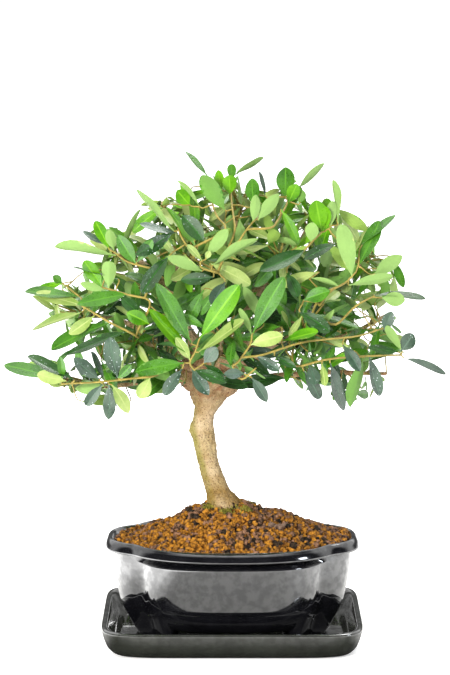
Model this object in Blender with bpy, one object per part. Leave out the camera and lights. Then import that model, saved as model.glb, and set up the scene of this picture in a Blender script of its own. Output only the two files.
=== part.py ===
"""Olive bonsai: a small olive tree in a black glazed quatrefoil pot on its drip tray.

Metres, +Z up. The origin is the centre of the tray's flat underside, +X is to the right of the
tree's front and +Y is behind it.
"""
import math
import random

import bmesh
import bpy
from mathutils import Matrix, Vector, noise
from mathutils.bvhtree import BVHTree

# Clearance between neighbouring pieces
GAP = 0.0003

# Drip tray: a rounded rectangle with flaring walls
TRAY_HALF_WIDTH = 0.1045
TRAY_HALF_DEPTH = 0.082
TRAY_HEIGHT = 0.022
TRAY_FLOOR = 0.0045
TRAY_SQUARENESS = 5.0
TRAY_STATIONS = (4, 4)
# Height and inset from the widest outline, from the underside up the wall and down to the floor
TRAY_PROFILE = (
    (0.0, 0.0130), (0.0015, 0.0085), (0.006, 0.0045), (0.013, 0.0020),
    (TRAY_HEIGHT - 0.0012, 0.0), (TRAY_HEIGHT, 0.0012), (TRAY_HEIGHT, 0.0042),
    (TRAY_HEIGHT - 0.002, 0.0058), (0.008, 0.0105), (TRAY_FLOOR, 0.0150),
)

# Pot: two wide lobes front and back, two narrow lobes at the ends, a notch where they meet
POT_HALF_WIDTH = 0.104
POT_HALF_DEPTH = 0.0735
POT_FRONT_LOBE_HALF_WIDTH = 0.092
POT_FRONT_LOBE_SQUARENESS = 2.3
POT_END_LOBE_HALF_DEPTH = 0.052
POT_END_LOBE_SQUARENESS = 3.0
POT_NOTCH_ANGLE = math.radians(28.2)
POT_NOTCH_SHARPNESS = 60.0
POT_RIM = 0.0845
POT_UNDERSIDE = 0.0145
POT_LIP_FACE = 0.0085
POT_LIP_WIDTH = 0.0080
POT_FLOOR = 0.021
POT_WALL_INSET = 0.0090
# Height and inset of the outer wall from the underside up to the lip, then of the inner wall down
POT_WALL = (
    (POT_UNDERSIDE, 0.0360), (0.0185, 0.0255), (0.0300, 0.0180), (0.056, 0.0118),
    (POT_RIM - POT_LIP_FACE - 0.002, POT_WALL_INSET),
)
POT_LIP = (
    (POT_RIM - POT_LIP_FACE, 0.0022), (POT_RIM - POT_LIP_FACE + 0.0025, 0.0004),
    (POT_RIM - 0.0015, 0.0), (POT_RIM, 0.0015), (POT_RIM, POT_LIP_WIDTH - 0.0012),
)
POT_INSIDE = (
    (POT_RIM - 0.002, POT_LIP_WIDTH + 0.0008), (0.058, 0.0175), (0.027, 0.0265), (POT_FLOOR, 0.0350),
)
POT_STATIONS = (4, 6)

# Cloud shaped feet that wrap the four notches of the pot
FOOT_HALF_SPREAD = 0.021
FOOT_PROUD = 0.0022
FOOT_SOLE = TRAY_FLOOR + GAP
FOOT_SHOULDER = 0.033
FOOT_STATIONS = 7
# Rise, place and spread of a foot's middle and side humps, the places as shares of its half spread
FOOT_HUMPS = ((0.0105, 0.0, 0.38), (0.0032, 0.72, 0.16))
FOOT_END_FALL = 0.010
FOOT_END_LIFT = 0.014
FOOT_REACH_INSET = 0.017
FOOT_SOLE_INSET = 0.0045
FOOT_BULGE = 0.0030
FOOT_BULGE_SHARE = 0.55
FOOT_CREST_ROUND = 0.0012
FOOT_CREST_SUNK = 0.0020
# Inset and height of a foot's hidden back, sunk into the pot's underside
FOOT_BACK = ((0.0255, POT_FLOOR - 0.0012), (0.0420, POT_UNDERSIDE + 0.0020), (0.0380, FOOT_SOLE))

# Soil: fills the pot and rises to a mound with a flat seat under the trunk
SOIL_EDGE = 0.0822
SOIL_SEAT = 0.1070
SOIL_SEAT_SCALE = 0.235
SOIL_CENTRE = Vector((-0.0040, 0.0, 0.0))
SOIL_RINGS = (
    (0.92, 0.0852), (0.83, 0.0880), (0.73, 0.0915), (0.63, 0.0948), (0.52, 0.0985),
    (0.42, 0.1018), (0.33, 0.1045), (SOIL_SEAT_SCALE, SOIL_SEAT),
)
SOIL_SIDE_GAP = 0.0006
SOIL_LUMP = 0.0044
SOIL_LUMP_FREQUENCY = 56.0

# Trunk: height, centre x, centre y, half width and half depth of its sections, foot to crown head
TRUNK_FOOT = SOIL_SEAT + GAP
TRUNK_SECTIONS = (
    (TRUNK_FOOT, -0.0040, 0.0000, 0.0165, 0.0155),
    (0.1125, -0.0074, 0.0000, 0.0126, 0.0122),
    (0.1205, -0.0112, 0.0003, 0.0098, 0.0098),
    (0.1290, -0.0144, 0.0006, 0.0088, 0.0089),
    (0.1455, -0.0196, 0.0010, 0.0084, 0.0085),
    (0.1615, -0.0226, 0.0012, 0.0089, 0.0087),
    (0.1700, -0.0238, 0.0012, 0.0092, 0.0088),
    (0.1820, -0.0222, 0.0010, 0.0087, 0.0090),
    (0.1930, -0.0182, 0.0006, 0.0115, 0.0108),
    (0.2010, -0.0160, 0.0003, 0.0176, 0.0150),
    (0.2100, -0.0162, 0.0000, 0.0262, 0.0205),
    (0.2210, -0.0160, 0.0000, 0.0268, 0.0222),
    (0.2320, -0.0130, 0.0000, 0.0205, 0.0185),
    (0.2400, -0.0110, 0.0000, 0.0115, 0.0110),
)
TRUNK_SIDES = 12
TRUNK_RINGS_PER_SECTION = 2
TRUNK_LUMP = 0.085
TRUNK_LUMP_FREQUENCY = 75.0

# Boughs: the points that each limb runs through, its radius at both ends and the limb it leaves
BOUGHS = {
    "low_left": (((-0.026, -0.002, 0.214), (-0.054, -0.003, 0.2135), (-0.090, -0.007, 0.208)),
                 0.0040, 0.0024, "trunk"),
    "left": (((-0.026, 0.004, 0.225), (-0.052, 0.004, 0.241), (-0.080, 0.001, 0.255)),
             0.0038, 0.0021, "trunk"),
    "high_left": (((-0.020, 0.000, 0.230), (-0.040, -0.002, 0.260), (-0.049, -0.001, 0.283),
                   (-0.062, 0.001, 0.298)), 0.0040, 0.0021, "trunk"),
    "top_left": (((-0.0485, -0.001, 0.2815), (-0.043, -0.003, 0.300), (-0.045, -0.004, 0.317)),
                 0.0023, 0.0018, "high_left"),
    "top": (((-0.012, 0.002, 0.232), (-0.010, 0.003, 0.274), (0.000, 0.002, 0.312)),
            0.0044, 0.0022, "trunk"),
    "top_right": (((-0.001, 0.006, 0.230), (0.014, 0.007, 0.270), (0.030, 0.006, 0.296),
                   (0.046, 0.006, 0.311)), 0.0040, 0.0020, "trunk"),
    "high_right": (((0.000, 0.000, 0.228), (0.032, -0.004, 0.260), (0.058, -0.005, 0.273),
                    (0.080, -0.003, 0.284)), 0.0038, 0.0021, "trunk"),
    "right": (((-0.002, -0.004, 0.220), (0.029, -0.006, 0.232), (0.052, -0.007, 0.240),
               (0.082, -0.004, 0.245)), 0.0036, 0.0020, "trunk"),
    "low_right": (((-0.002, 0.000, 0.208), (0.029, -0.003, 0.2135), (0.056, -0.006, 0.217)),
                  0.0036, 0.0026, "trunk"),
    "front_left": (((-0.024, -0.008, 0.220), (-0.040, -0.028, 0.228), (-0.052, -0.044, 0.238)),
                   0.0034, 0.0020, "trunk"),
    "front": (((-0.014, -0.010, 0.219), (-0.012, -0.034, 0.225), (-0.010, -0.056, 0.238)),
              0.0034, 0.0020, "trunk"),
    "front_right": (((-0.002, -0.008, 0.222), (0.016, -0.028, 0.234), (0.032, -0.048, 0.246)),
                    0.0034, 0.0020, "trunk"),
    "front_top_left": (((-0.018, -0.006, 0.230), (-0.022, -0.020, 0.262), (-0.028, -0.034, 0.294)),
                       0.0034, 0.0019, "trunk"),
    "front_top_right": (((-0.006, -0.006, 0.229), (0.012, -0.018, 0.264), (0.026, -0.032, 0.294)),
                        0.0034, 0.0019, "trunk"),
    "back_left": (((-0.024, 0.010, 0.226), (-0.034, 0.034, 0.240), (-0.042, 0.054, 0.250)),
                  0.0034, 0.0020, "trunk"),
    "back": (((-0.010, 0.012, 0.224), (-0.002, 0.038, 0.242), (0.008, 0.062, 0.257)),
             0.0034, 0.0020, "trunk"),
    "back_right": (((-0.002, 0.008, 0.222), (0.026, 0.030, 0.239), (0.050, 0.048, 0.251)),
                   0.0034, 0.0020, "trunk"),
    "back_top": (((-0.012, 0.010, 0.230), (-0.008, 0.030, 0.266), (-0.002, 0.042, 0.298)),
                 0.0034, 0.0019, "trunk"),
    "back_low": (((-0.016, 0.010, 0.212), (-0.018, 0.036, 0.215), (-0.016, 0.062, 0.217)),
                 0.0034, 0.0020, "trunk"),
}
BOUGH_POINT_SPACING = 0.019
BOUGH_BEVEL_RESOLUTION = 1
BOUGH_TAPER = 0.8

# Masses of leaves: centre and radii of each one's space, and the tips that its longest shoots reach.
# Each grows from the end of the bough with its name.
MASSES = {
    "low_left": ((-0.128, -0.010, 0.212), (0.062, 0.048, 0.040),
                 ((-0.182, -0.012, 0.222), (-0.098, -0.022, 0.179), (-0.160, 0.018, 0.196))),
    "left": ((-0.120, -0.002, 0.265), (0.062, 0.046, 0.038),
             ((-0.162, 0.005, 0.250), (-0.166, -0.010, 0.281), (-0.120, -0.038, 0.262))),
    "high_left": ((-0.096, 0.004, 0.312), (0.054, 0.044, 0.038),
                  ((-0.141, 0.000, 0.317), (-0.109, 0.010, 0.339), (-0.095, -0.034, 0.314))),
    "top_left": ((-0.054, -0.004, 0.350), (0.044, 0.044, 0.050),
                 ((-0.077, 0.000, 0.366), (-0.038, 0.004, 0.395), (-0.058, -0.038, 0.358))),
    "top": ((0.006, 0.002, 0.350), (0.042, 0.044, 0.046),
            ((0.025, 0.008, 0.389), (-0.012, 0.000, 0.385), (0.010, -0.036, 0.358))),
    "top_right": ((0.064, 0.006, 0.342), (0.044, 0.044, 0.048),
                  ((0.074, 0.002, 0.385), (0.084, 0.015, 0.373), (0.058, -0.030, 0.352))),
    "high_right": ((0.106, 0.002, 0.306), (0.050, 0.044, 0.046),
                   ((0.130, 0.004, 0.345), (0.140, -0.004, 0.312), (0.100, -0.036, 0.318))),
    "right": ((0.122, 0.004, 0.262), (0.050, 0.046, 0.036),
              ((0.156, 0.000, 0.277), (0.146, -0.010, 0.248), (0.118, -0.036, 0.266))),
    "low_right": ((0.116, -0.006, 0.217), (0.062, 0.044, 0.042),
                  ((0.173, 0.000, 0.217), (0.084, -0.018, 0.184), (0.112, -0.034, 0.198))),
    "front_left": ((-0.068, -0.062, 0.252), (0.048, 0.044, 0.046),
                   ((-0.084, -0.092, 0.292), (-0.100, -0.084, 0.240), (-0.066, -0.084, 0.212))),
    "front": ((-0.008, -0.084, 0.258), (0.046, 0.040, 0.048),
              ((-0.020, -0.112, 0.286), (0.014, -0.110, 0.262), (-0.024, -0.086, 0.208))),
    "front_right": ((0.054, -0.070, 0.262), (0.048, 0.044, 0.046),
                    ((0.052, -0.104, 0.292), (0.090, -0.078, 0.250), (0.042, -0.080, 0.214))),
    "front_top_left": ((-0.032, -0.052, 0.314), (0.044, 0.042, 0.042),
                       ((-0.044, -0.084, 0.330), (-0.060, -0.060, 0.342), (-0.026, -0.080, 0.348))),
    "front_top_right": ((0.036, -0.050, 0.314), (0.044, 0.042, 0.042),
                        ((0.042, -0.084, 0.328), (0.064, -0.062, 0.336), (0.026, -0.070, 0.352))),
    "back_left": ((-0.050, 0.076, 0.264), (0.050, 0.046, 0.048),
                  ((-0.080, 0.102, 0.272), (-0.040, 0.118, 0.258), (-0.062, 0.090, 0.306))),
    "back": ((0.014, 0.090, 0.270), (0.046, 0.040, 0.046),
             ((0.020, 0.122, 0.270), (-0.010, 0.108, 0.300), (0.038, 0.104, 0.302))),
    "back_right": ((0.076, 0.066, 0.262), (0.048, 0.044, 0.046),
                   ((0.110, 0.080, 0.270), (0.074, 0.108, 0.256), (0.092, 0.074, 0.300))),
    "back_top": ((0.000, 0.058, 0.322), (0.046, 0.042, 0.042),
                 ((-0.030, 0.078, 0.344), (0.026, 0.080, 0.348), (0.002, 0.096, 0.326))),
    "back_low": ((-0.022, 0.086, 0.216), (0.050, 0.038, 0.032),
                 ((-0.048, 0.106, 0.212), (0.016, 0.104, 0.218), (-0.020, 0.108, 0.192))),
}
SPACE_MARGIN = 0.0003
SPACE_GROWTH = 1.4
ROOM_STEP = 0.001

# Crown: a dome that no leaf leaves, tall above its widest level and shallow under it
CROWN_MIDDLE = Vector((-0.005, 0.0, 0.226))
CROWN_HALF_WIDTH = 0.180
CROWN_HALF_DEPTH = 0.125
CROWN_RISE = 0.174
CROWN_DROP = 0.052
CROWN_SQUARENESS = 2.4

# Rule that a mass of leaves grows by
GROWTH_SEED = 11
STEM_STEPS = 6
STEM_OVERSHOOT = 0.12
STEM_TIP_RADIUS = 0.0014
SHOOT_RADIUS = 0.0013
SHOOT_TIP_RADIUS = 0.0009
SHOOT_STEPS = 2
SHOOT_ANGLE = math.radians(48.0)
SHOOT_SHORTEST = 0.010
SHOOT_BARE = 0.35
FILL_SHOOTS = 4
INTERNODE = 0.0190
LEAF_LENGTH = 0.056
TERMINAL_LENGTH = 0.040
LEAF_SLENDERNESS = 2.3
LEAF_THICKNESS = 0.022
LEAF_SUNK = 0.0002
LEAF_ROOM = 0.0135
TIP_LEAF_SHARE = 0.66
YOUNG_LEAF_SHARE = 0.68
FIRST_PAIR = 0.003
LEAF_SPREAD = (math.radians(34.0), math.radians(64.0))
OLD_LEAF_SPREAD = math.radians(14.0)
LEAF_SPREAD_STEP = math.radians(4.0)
LEAF_ROLL = 0.6
LEAF_DROOP = 0.4
LEAF_BEND = (0.02, 0.12)
BEND_REACH = 0.38
LEAF_CROWDED = 0.06
LEAF_TRIES = 12
LIMB_CLEARANCE = 0.0004
GOLDEN_ANGLE = math.pi * (3.0 - math.sqrt(5.0))

# Outline of a leaf as shares of its length and half width: tip, one edge, root, other edge
LEAF_OUTLINE = ((1.0, 0.0), (0.72, 0.84), (0.34, 1.0), (0.0, 0.0), (0.34, -1.0), (0.72, -0.84))
LEAF_CREST = 0.36


def clear_scene():
    """Remove every object of the open scene."""
    for item in list(bpy.data.objects):
        bpy.data.objects.remove(item, do_unlink=True)


def make_material(name, colour, roughness, metallic=0.0):
    """Principled material with one colour."""
    material = bpy.data.materials.new(name)
    material.use_nodes = True
    shader = material.node_tree.nodes["Principled BSDF"]
    shader.inputs["Base Color"].default_value = (*colour, 1.0)
    shader.inputs["Roughness"].default_value = roughness
    shader.inputs["Metallic"].default_value = metallic
    return material


def place_object(name, mesh, material, collection):
    """Link a mesh into a collection as a named object."""
    item = bpy.data.objects.new(name, mesh)
    mesh.materials.clear()
    mesh.materials.append(material)
    collection.objects.link(item)
    return item


def ring_stack(name, rings):
    """Closed mesh through rings with equal counts, capped flat on the first and last ring.

    Each four cornered patch is split the same way, so that two walls that face each other and
    are listed in the same direction stay parallel.
    """
    bm = bmesh.new()
    rows = [[bm.verts.new(point) for point in ring] for ring in rings]
    for lower, upper in zip(rows, rows[1:]):
        for i in range(len(lower)):
            j = (i + 1) % len(lower)
            bm.faces.new((lower[i], lower[j], upper[j]))
            bm.faces.new((lower[i], upper[j], upper[i]))
    bm.faces.new(tuple(reversed(rows[0])))
    bm.faces.new(rows[-1])
    bmesh.ops.recalc_face_normals(bm, faces=bm.faces)
    mesh = bpy.data.meshes.new(name)
    bm.to_mesh(mesh)
    bm.free()
    mesh.shade_smooth()
    mesh.set_sharp_from_angle(angle=math.radians(40.0))
    return mesh


def superellipse_radius(angle, half_width, half_depth, squareness):
    """Distance from the centre to a superellipse at a polar angle."""
    along = abs(math.cos(angle) / half_width) ** squareness
    across = abs(math.sin(angle) / half_depth) ** squareness
    return (along + across) ** (-1.0 / squareness)


def quadrant_angles(first_share, split, first_count, second_count):
    """Polar angles round a full turn, symmetric in both axes, with a point on each split."""
    first = [split * (i / first_count) ** first_share for i in range(first_count)]
    second = [split + (math.pi / 2 - split) * i / second_count for i in range(second_count)]
    quarter = first + second
    mirrored = [math.pi - angle for angle in reversed(quarter[1:])]
    half = quarter + [math.pi / 2] + mirrored
    return half + [angle + math.pi for angle in half]


def pot_outline(inset, angle):
    """Point on the pot's quatrefoil outline, moved inwards by the inset."""
    front = superellipse_radius(angle, POT_FRONT_LOBE_HALF_WIDTH - inset, POT_HALF_DEPTH - inset,
                                POT_FRONT_LOBE_SQUARENESS)
    end = superellipse_radius(angle, POT_HALF_WIDTH - inset, POT_END_LOBE_HALF_DEPTH - inset,
                              POT_END_LOBE_SQUARENESS)
    reach = (front ** POT_NOTCH_SHARPNESS + end ** POT_NOTCH_SHARPNESS) ** (1 / POT_NOTCH_SHARPNESS)
    return Vector((reach * math.cos(angle), reach * math.sin(angle), 0.0))


def pot_ring(height, inset):
    """Ring of the pot at a height."""
    angles = quadrant_angles(0.8, POT_NOTCH_ANGLE, *POT_STATIONS)
    return [pot_outline(inset, angle) + Vector((0.0, 0.0, height)) for angle in angles]


def tray_ring(height, inset):
    """Ring of the tray at a height, with more points at its corners."""
    ring = []
    corner = math.atan2(TRAY_HALF_DEPTH, TRAY_HALF_WIDTH)
    for angle in quadrant_angles(0.7, corner, *TRAY_STATIONS):
        reach = superellipse_radius(angle, TRAY_HALF_WIDTH - inset, TRAY_HALF_DEPTH - inset,
                                    TRAY_SQUARENESS)
        ring.append(Vector((reach * math.cos(angle), reach * math.sin(angle), height)))
    return ring


def make_tray(collection):
    """Drip tray that the pot stands in."""
    mesh = ring_stack("tray", [tray_ring(height, inset) for height, inset in TRAY_PROFILE])
    glaze = make_material("tray glaze", (0.012, 0.013, 0.011), 0.12)
    return place_object("tray", mesh, glaze, collection)


def wall_inset(height):
    """Inset of the pot's outer wall at a height."""
    for (low, low_inset), (high, high_inset) in zip(POT_WALL, POT_WALL[1:]):
        if height <= high:
            share = (height - low) / (high - low)
            return low_inset + (high_inset - low_inset) * share
    return POT_WALL_INSET


def foot_mesh(side_x, side_y):
    """One cloud shaped foot round a notch: a row of four cornered sections along the outline."""
    rings = []
    reach = pot_outline(FOOT_REACH_INSET, POT_NOTCH_ANGLE).length
    for i in range(FOOT_STATIONS + 1):
        share = 2.0 * i / FOOT_STATIONS - 1.0
        angle = POT_NOTCH_ANGLE + share * FOOT_HALF_SPREAD / reach
        crest = FOOT_SHOULDER - FOOT_END_FALL * abs(share) ** 4
        for rise, place, spread in FOOT_HUMPS:
            crest += rise * math.exp(-((share - place) / spread) ** 2)
        sole = FOOT_SOLE + FOOT_END_LIFT * max(0.0, abs(share) - 0.5) ** 1.5
        wall = wall_inset(crest)
        middle = FOOT_BULGE_SHARE * crest
        section = (
            (wall + FOOT_SOLE_INSET - FOOT_PROUD, sole),
            (wall_inset(middle) - FOOT_PROUD - FOOT_BULGE, middle),
            (wall - 0.5 * FOOT_PROUD, crest - FOOT_CREST_ROUND),
            (wall + FOOT_CREST_SUNK, crest),
        ) + FOOT_BACK[:2] + ((FOOT_BACK[2][0], sole),)
        ring = [pot_outline(inset, angle) + Vector((0.0, 0.0, height)) for inset, height in section]
        rings.append([Vector((side_x * point.x, side_y * point.y, point.z)) for point in ring])
    return ring_stack("foot", rings)


def join_by_union(base, helpers, solver):
    """Boolean union of an object with a collection, applied; the helpers are removed after it."""
    step = base.modifiers.new("union", "BOOLEAN")
    step.operation = "UNION"
    step.operand_type = "COLLECTION"
    step.collection = helpers
    step.solver = solver
    apply_modifiers(base)
    for item in list(helpers.objects):
        bpy.data.objects.remove(item, do_unlink=True)


def apply_modifiers(item):
    """Replace an object's mesh with its evaluated mesh."""
    graph = bpy.context.evaluated_depsgraph_get()
    mesh = bpy.data.meshes.new_from_object(item.evaluated_get(graph))
    mesh.name = item.name
    item.modifiers.clear()
    item.data = mesh


def make_pot(collection, helpers):
    """Quatrefoil pot with its lip and four cloud shaped feet."""
    profile = POT_WALL + POT_LIP + POT_INSIDE
    mesh = ring_stack("pot", [pot_ring(height, inset) for height, inset in profile])
    glaze = make_material("pot glaze", (0.010, 0.010, 0.011), 0.08)
    pot = place_object("pot", mesh, glaze, collection)
    for side_x in (-1, 1):
        for side_y in (-1, 1):
            place_object("foot", foot_mesh(side_x, side_y), glaze, helpers)
    join_by_union(pot, helpers, "MANIFOLD")
    return pot


def soil_height(point, height):
    """Height of the mound at a point, with seeded lumps."""
    lump = noise.noise(Vector((point.x, point.y, 0.0)) * SOIL_LUMP_FREQUENCY)
    return height + SOIL_LUMP * lump


def make_soil(collection):
    """Granular soil: fills the pot up to a mound with a flat seat for the trunk."""
    inside = POT_INSIDE[:0:-1]
    rings = [pot_ring(height + GAP, inset + SOIL_SIDE_GAP) for height, inset in inside]
    edge = pot_ring(SOIL_EDGE, POT_INSIDE[0][1] + SOIL_SIDE_GAP)
    rings.append(edge)
    for scale, height in SOIL_RINGS:
        ring = []
        for point in edge:
            spot = SOIL_CENTRE.lerp(Vector((point.x, point.y, 0.0)), scale)
            level = height if height == SOIL_SEAT else soil_height(spot, height)
            ring.append(Vector((spot.x, spot.y, level)))
        rings.append(ring)
    rings.reverse()
    mesh = ring_stack("soil", rings)
    earth = make_material("soil", (0.30, 0.13, 0.045), 0.95)
    return place_object("soil", mesh, earth, collection)


def catmull(before, start, end, after, share):
    """Catmull-Rom blend between two of four values."""
    square = share * share
    cube = square * share
    return 0.5 * (2.0 * start + (end - before) * share
                  + (2.0 * before - 5.0 * start + 4.0 * end - after) * square
                  + (3.0 * start - before - 3.0 * end + after) * cube)


def smooth_row(rows, steps):
    """Rows of numbers blended smoothly, with this many steps from each to the next."""
    rows = [Vector(row) for row in rows]
    padded = [2.0 * rows[0] - rows[1]] + rows + [2.0 * rows[-1] - rows[-2]]
    result = []
    for i in range(len(rows) - 1):
        for step in range(steps):
            result.append(catmull(*padded[i:i + 4], step / steps))
    result.append(rows[-1])
    return result


def trunk_mesh(extra):
    """Trunk with its lean, taper, flared foot and swollen head, made wider by the extra."""
    rings = []
    centres = smooth_row([(x, y, z) for z, x, y, _, _ in TRUNK_SECTIONS], TRUNK_RINGS_PER_SECTION)
    sizes = smooth_row([(wide, deep, 0.0) for _, _, _, wide, deep in TRUNK_SECTIONS],
                       TRUNK_RINGS_PER_SECTION)
    for centre, size in zip(centres, sizes):
        ring = []
        for i in range(TRUNK_SIDES):
            angle = 2.0 * math.pi * i / TRUNK_SIDES
            out = Vector((size.x * math.cos(angle), size.y * math.sin(angle), 0.0))
            sample = (centre + out) * TRUNK_LUMP_FREQUENCY
            out *= 1.0 + TRUNK_LUMP * noise.noise(sample)
            out += out.normalized() * extra
            ring.append(centre + out)
        rings.append(ring)
    if extra:
        rings[0] = [point - Vector((0.0, 0.0, extra)) for point in rings[0]]
        rings[-1] = [point + Vector((0.0, 0.0, extra)) for point in rings[-1]]
    return ring_stack("trunk", rings)


def curve_tube(name, points, radii, profile=None):
    """Mesh of a round or profiled tube through the points, its caps welded on."""
    curve = bpy.data.curves.new(name, "CURVE")
    curve.dimensions = "3D"
    curve.use_fill_caps = True
    if profile is None:
        curve.bevel_depth = 1.0
        curve.bevel_resolution = BOUGH_BEVEL_RESOLUTION
    else:
        curve.bevel_mode = "OBJECT"
        curve.bevel_object = profile
    spline = curve.splines.new("POLY")
    spline.points.add(len(points) - 1)
    for knot, point, radius in zip(spline.points, points, radii):
        knot.co = (*point, 1.0)
        knot.radius = radius
    item = bpy.data.objects.new(name, curve)
    bpy.context.scene.collection.objects.link(item)
    graph = bpy.context.evaluated_depsgraph_get()
    mesh = bpy.data.meshes.new_from_object(item.evaluated_get(graph))
    bm = bmesh.new()
    bm.from_mesh(mesh)
    bmesh.ops.remove_doubles(bm, verts=bm.verts, dist=1e-7)
    bmesh.ops.recalc_face_normals(bm, faces=bm.faces)
    bm.to_mesh(mesh)
    bm.free()
    bpy.data.objects.remove(item, do_unlink=True)
    return mesh


def bough_path(name):
    """Smooth points and radii of a bough, evenly spaced enough for its length."""
    points, start_radius, end_radius, _ = BOUGHS[name]
    length = sum((Vector(b) - Vector(a)).length for a, b in zip(points, points[1:]))
    steps = max(2, round(length / BOUGH_POINT_SPACING / (len(points) - 1)))
    path = smooth_row(points, steps)
    last = len(path) - 1
    radii = [start_radius + (end_radius - start_radius) * (i / last) ** BOUGH_TAPER
             for i in range(len(path))]
    return path, radii


def make_boughs(collection, cutters, bark):
    """Boughs, each cut clear of the limb that it leaves."""
    boughs = {}
    trunk_cutter = place_object("trunk clearance", trunk_mesh(GAP), bark, cutters)
    for name, (_, _, _, parent) in BOUGHS.items():
        path, radii = bough_path(name)
        mesh = curve_tube("bough_" + name, path, radii)
        mesh.shade_smooth()
        bough = place_object("bough_" + name, mesh, bark, collection)
        cutter = trunk_cutter
        if parent != "trunk":
            parent_path, parent_radii = bough_path(parent)
            wider = [radius + GAP for radius in parent_radii]
            cutter = place_object(parent + " clearance",
                                  curve_tube("clearance", parent_path, wider), bark, cutters)
        cutter.hide_render = True
        cutter.display_type = "WIRE"
        step = bough.modifiers.new("clearance", "BOOLEAN")
        step.operation = "DIFFERENCE"
        step.object = cutter
        step.solver = "EXACT"
        apply_modifiers(bough)
        boughs[name] = bough
    return boughs


def mass_spaces():
    """Space of each mass: its ellipsoid, and the planes that part it from its neighbours."""
    spaces = {}
    for name, (centre, radii, _) in MASSES.items():
        centre = Vector(centre)
        radii = [radius * SPACE_GROWTH for radius in radii]
        planes = []
        for other, (other_centre, other_radii, _) in MASSES.items():
            if other == name:
                continue
            away = Vector(other_centre) - centre
            distance = away.length
            normal = away / distance
            reach = math.sqrt(sum((r * n) ** 2 for r, n in zip(radii, normal)))
            other_reach = math.sqrt(sum((r * n) ** 2 for r, n in zip(other_radii, normal)))
            if reach + other_reach * SPACE_GROWTH > distance:
                share = reach / (reach + other_reach * SPACE_GROWTH)
                planes.append((normal, distance * share))
        spaces[name] = (centre, radii, planes)
    return spaces


def in_space(space, point, margin):
    """True where a point lies in a mass's space by at least the margin."""
    centre, radii, planes = space
    offset = point - centre
    if sum((value / (radius - margin)) ** 2 for value, radius in zip(offset, radii)) > 1.0:
        return False
    crown = point - CROWN_MIDDLE
    sizes = (CROWN_HALF_WIDTH, CROWN_HALF_DEPTH, CROWN_RISE if crown.z > 0.0 else CROWN_DROP)
    if sum(abs(value / size) ** CROWN_SQUARENESS for value, size in zip(crown, sizes)) > 1.0:
        return False
    return all(offset.dot(normal) < limit - margin for normal, limit in planes)


def room_along(space, start, direction):
    """Distance from a start point to the edge of the space."""
    distance = 0.0
    while in_space(space, start + direction * (distance + ROOM_STEP), SPACE_MARGIN):
        distance += ROOM_STEP
    return distance


def clear_of_limbs(points, radii, limbs):
    """True where a tube keeps its distance from every limb."""
    for point, radius in zip(points, radii):
        for tree in limbs.values():
            if tree.find_nearest(point, radius + LIMB_CLEARANCE)[0] is not None:
                return False
    return True


def bend_path(start, start_way, end, end_way, steps):
    """Points of a cubic curve that leaves and arrives along two directions."""
    reach = (end - start).length * BEND_REACH
    one = start + start_way * reach
    two = end - end_way * reach
    path = []
    for i in range(steps + 1):
        t = i / steps
        path.append(start * (1 - t) ** 3 + one * 3 * t * (1 - t) ** 2
                    + two * 3 * t * t * (1 - t) + end * t ** 3)
    return path


def leaf_points(leaf, swell=0.0, cut_root=0.0):
    """Outline and crest points of a leaf: six round its edge, then its upper and lower crest."""
    root, axis, face, length, width, bend = leaf
    side = face.cross(axis)

    def place(share, across, lift):
        arch = -bend * length * share * share
        return root + axis * (length * share) + side * across + face * (lift + arch)

    points = []
    for share, half in LEAF_OUTLINE:
        share = max(share, cut_root)
        across = half * (width / 2 + swell)
        points.append(place(share + (swell / length if half == 0.0 else 0.0), across, 0.0))
    rise = LEAF_THICKNESS * length / 2 + swell
    points.append(place(LEAF_CREST, 0.0, rise))
    points.append(place(LEAF_CREST, 0.0, -rise))
    return points


LEAF_FACES = [(i, (i + 1) % 6, 6) for i in range(6)] + [((i + 1) % 6, i, 7) for i in range(6)]


def leaf_tree(leaf, space, limbs, grown):
    """Search tree of a leaf that keeps to its space and off limbs, leaves and twigs, or None."""
    if not all(in_space(space, point, SPACE_MARGIN) for point in leaf_points(leaf)):
        return None
    tree = BVHTree.FromPolygons(leaf_points(leaf, LIMB_CLEARANCE, LEAF_CROWDED), LEAF_FACES)
    if any(limb.overlap(tree) for limb in limbs.values()):
        return None
    middle = leaf[0] + leaf[1] * leaf[3] / 2
    for other, other_middle in grown["trees"]:
        if (middle - other_middle).length < LEAF_LENGTH and other.overlap(tree):
            return None
    for points, _ in grown["twigs"]:
        for a, b in zip(points, points[1:]):
            step = b - a
            if tree.ray_cast(a, step.normalized(), step.length)[0] is not None:
                return None
    return tree


def best_leaf(candidates, space, limbs, grown):
    """Add the candidate that fits and lies farthest from the leaves that have grown."""
    best = None
    for leaf in candidates:
        tree = leaf_tree(leaf, space, limbs, grown)
        if tree is None:
            continue
        middle = leaf[0] + leaf[1] * leaf[3] / 2
        room = min([(middle - other).length for other in grown["middles"]], default=1.0)
        if room > (best[0] if best else LEAF_ROOM):
            best = (room, leaf, tree, middle)
    if best is not None:
        grown["leaves"].append(best[1])
        grown["trees"].append((best[2], best[3]))
        grown["middles"].append(best[3])


def leaf_candidate(root, shoot_way, out_way, spread, droop, length, dice):
    """Leaf that leaves a shoot to one side, its upper face turned to the shoot's tip and the sky."""
    axis = shoot_way * math.cos(spread) + out_way * math.sin(spread)
    axis = (axis + Vector((0.0, 0.0, -droop))).normalized()
    turn = dice.uniform(0.0, 2.0 * math.pi)
    sky = Vector((math.cos(turn), math.sin(turn), dice.uniform(0.1, 1.2))).normalized()
    face = shoot_way.lerp(sky, dice.uniform(0.4, 1.0))
    face = (face - axis * face.dot(axis)).normalized()
    bend = dice.uniform(*LEAF_BEND) if spread else 0.0
    return (root - axis * LEAF_SUNK, axis, face, length + LEAF_SUNK, length / LEAF_SLENDERNESS, bend)


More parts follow.
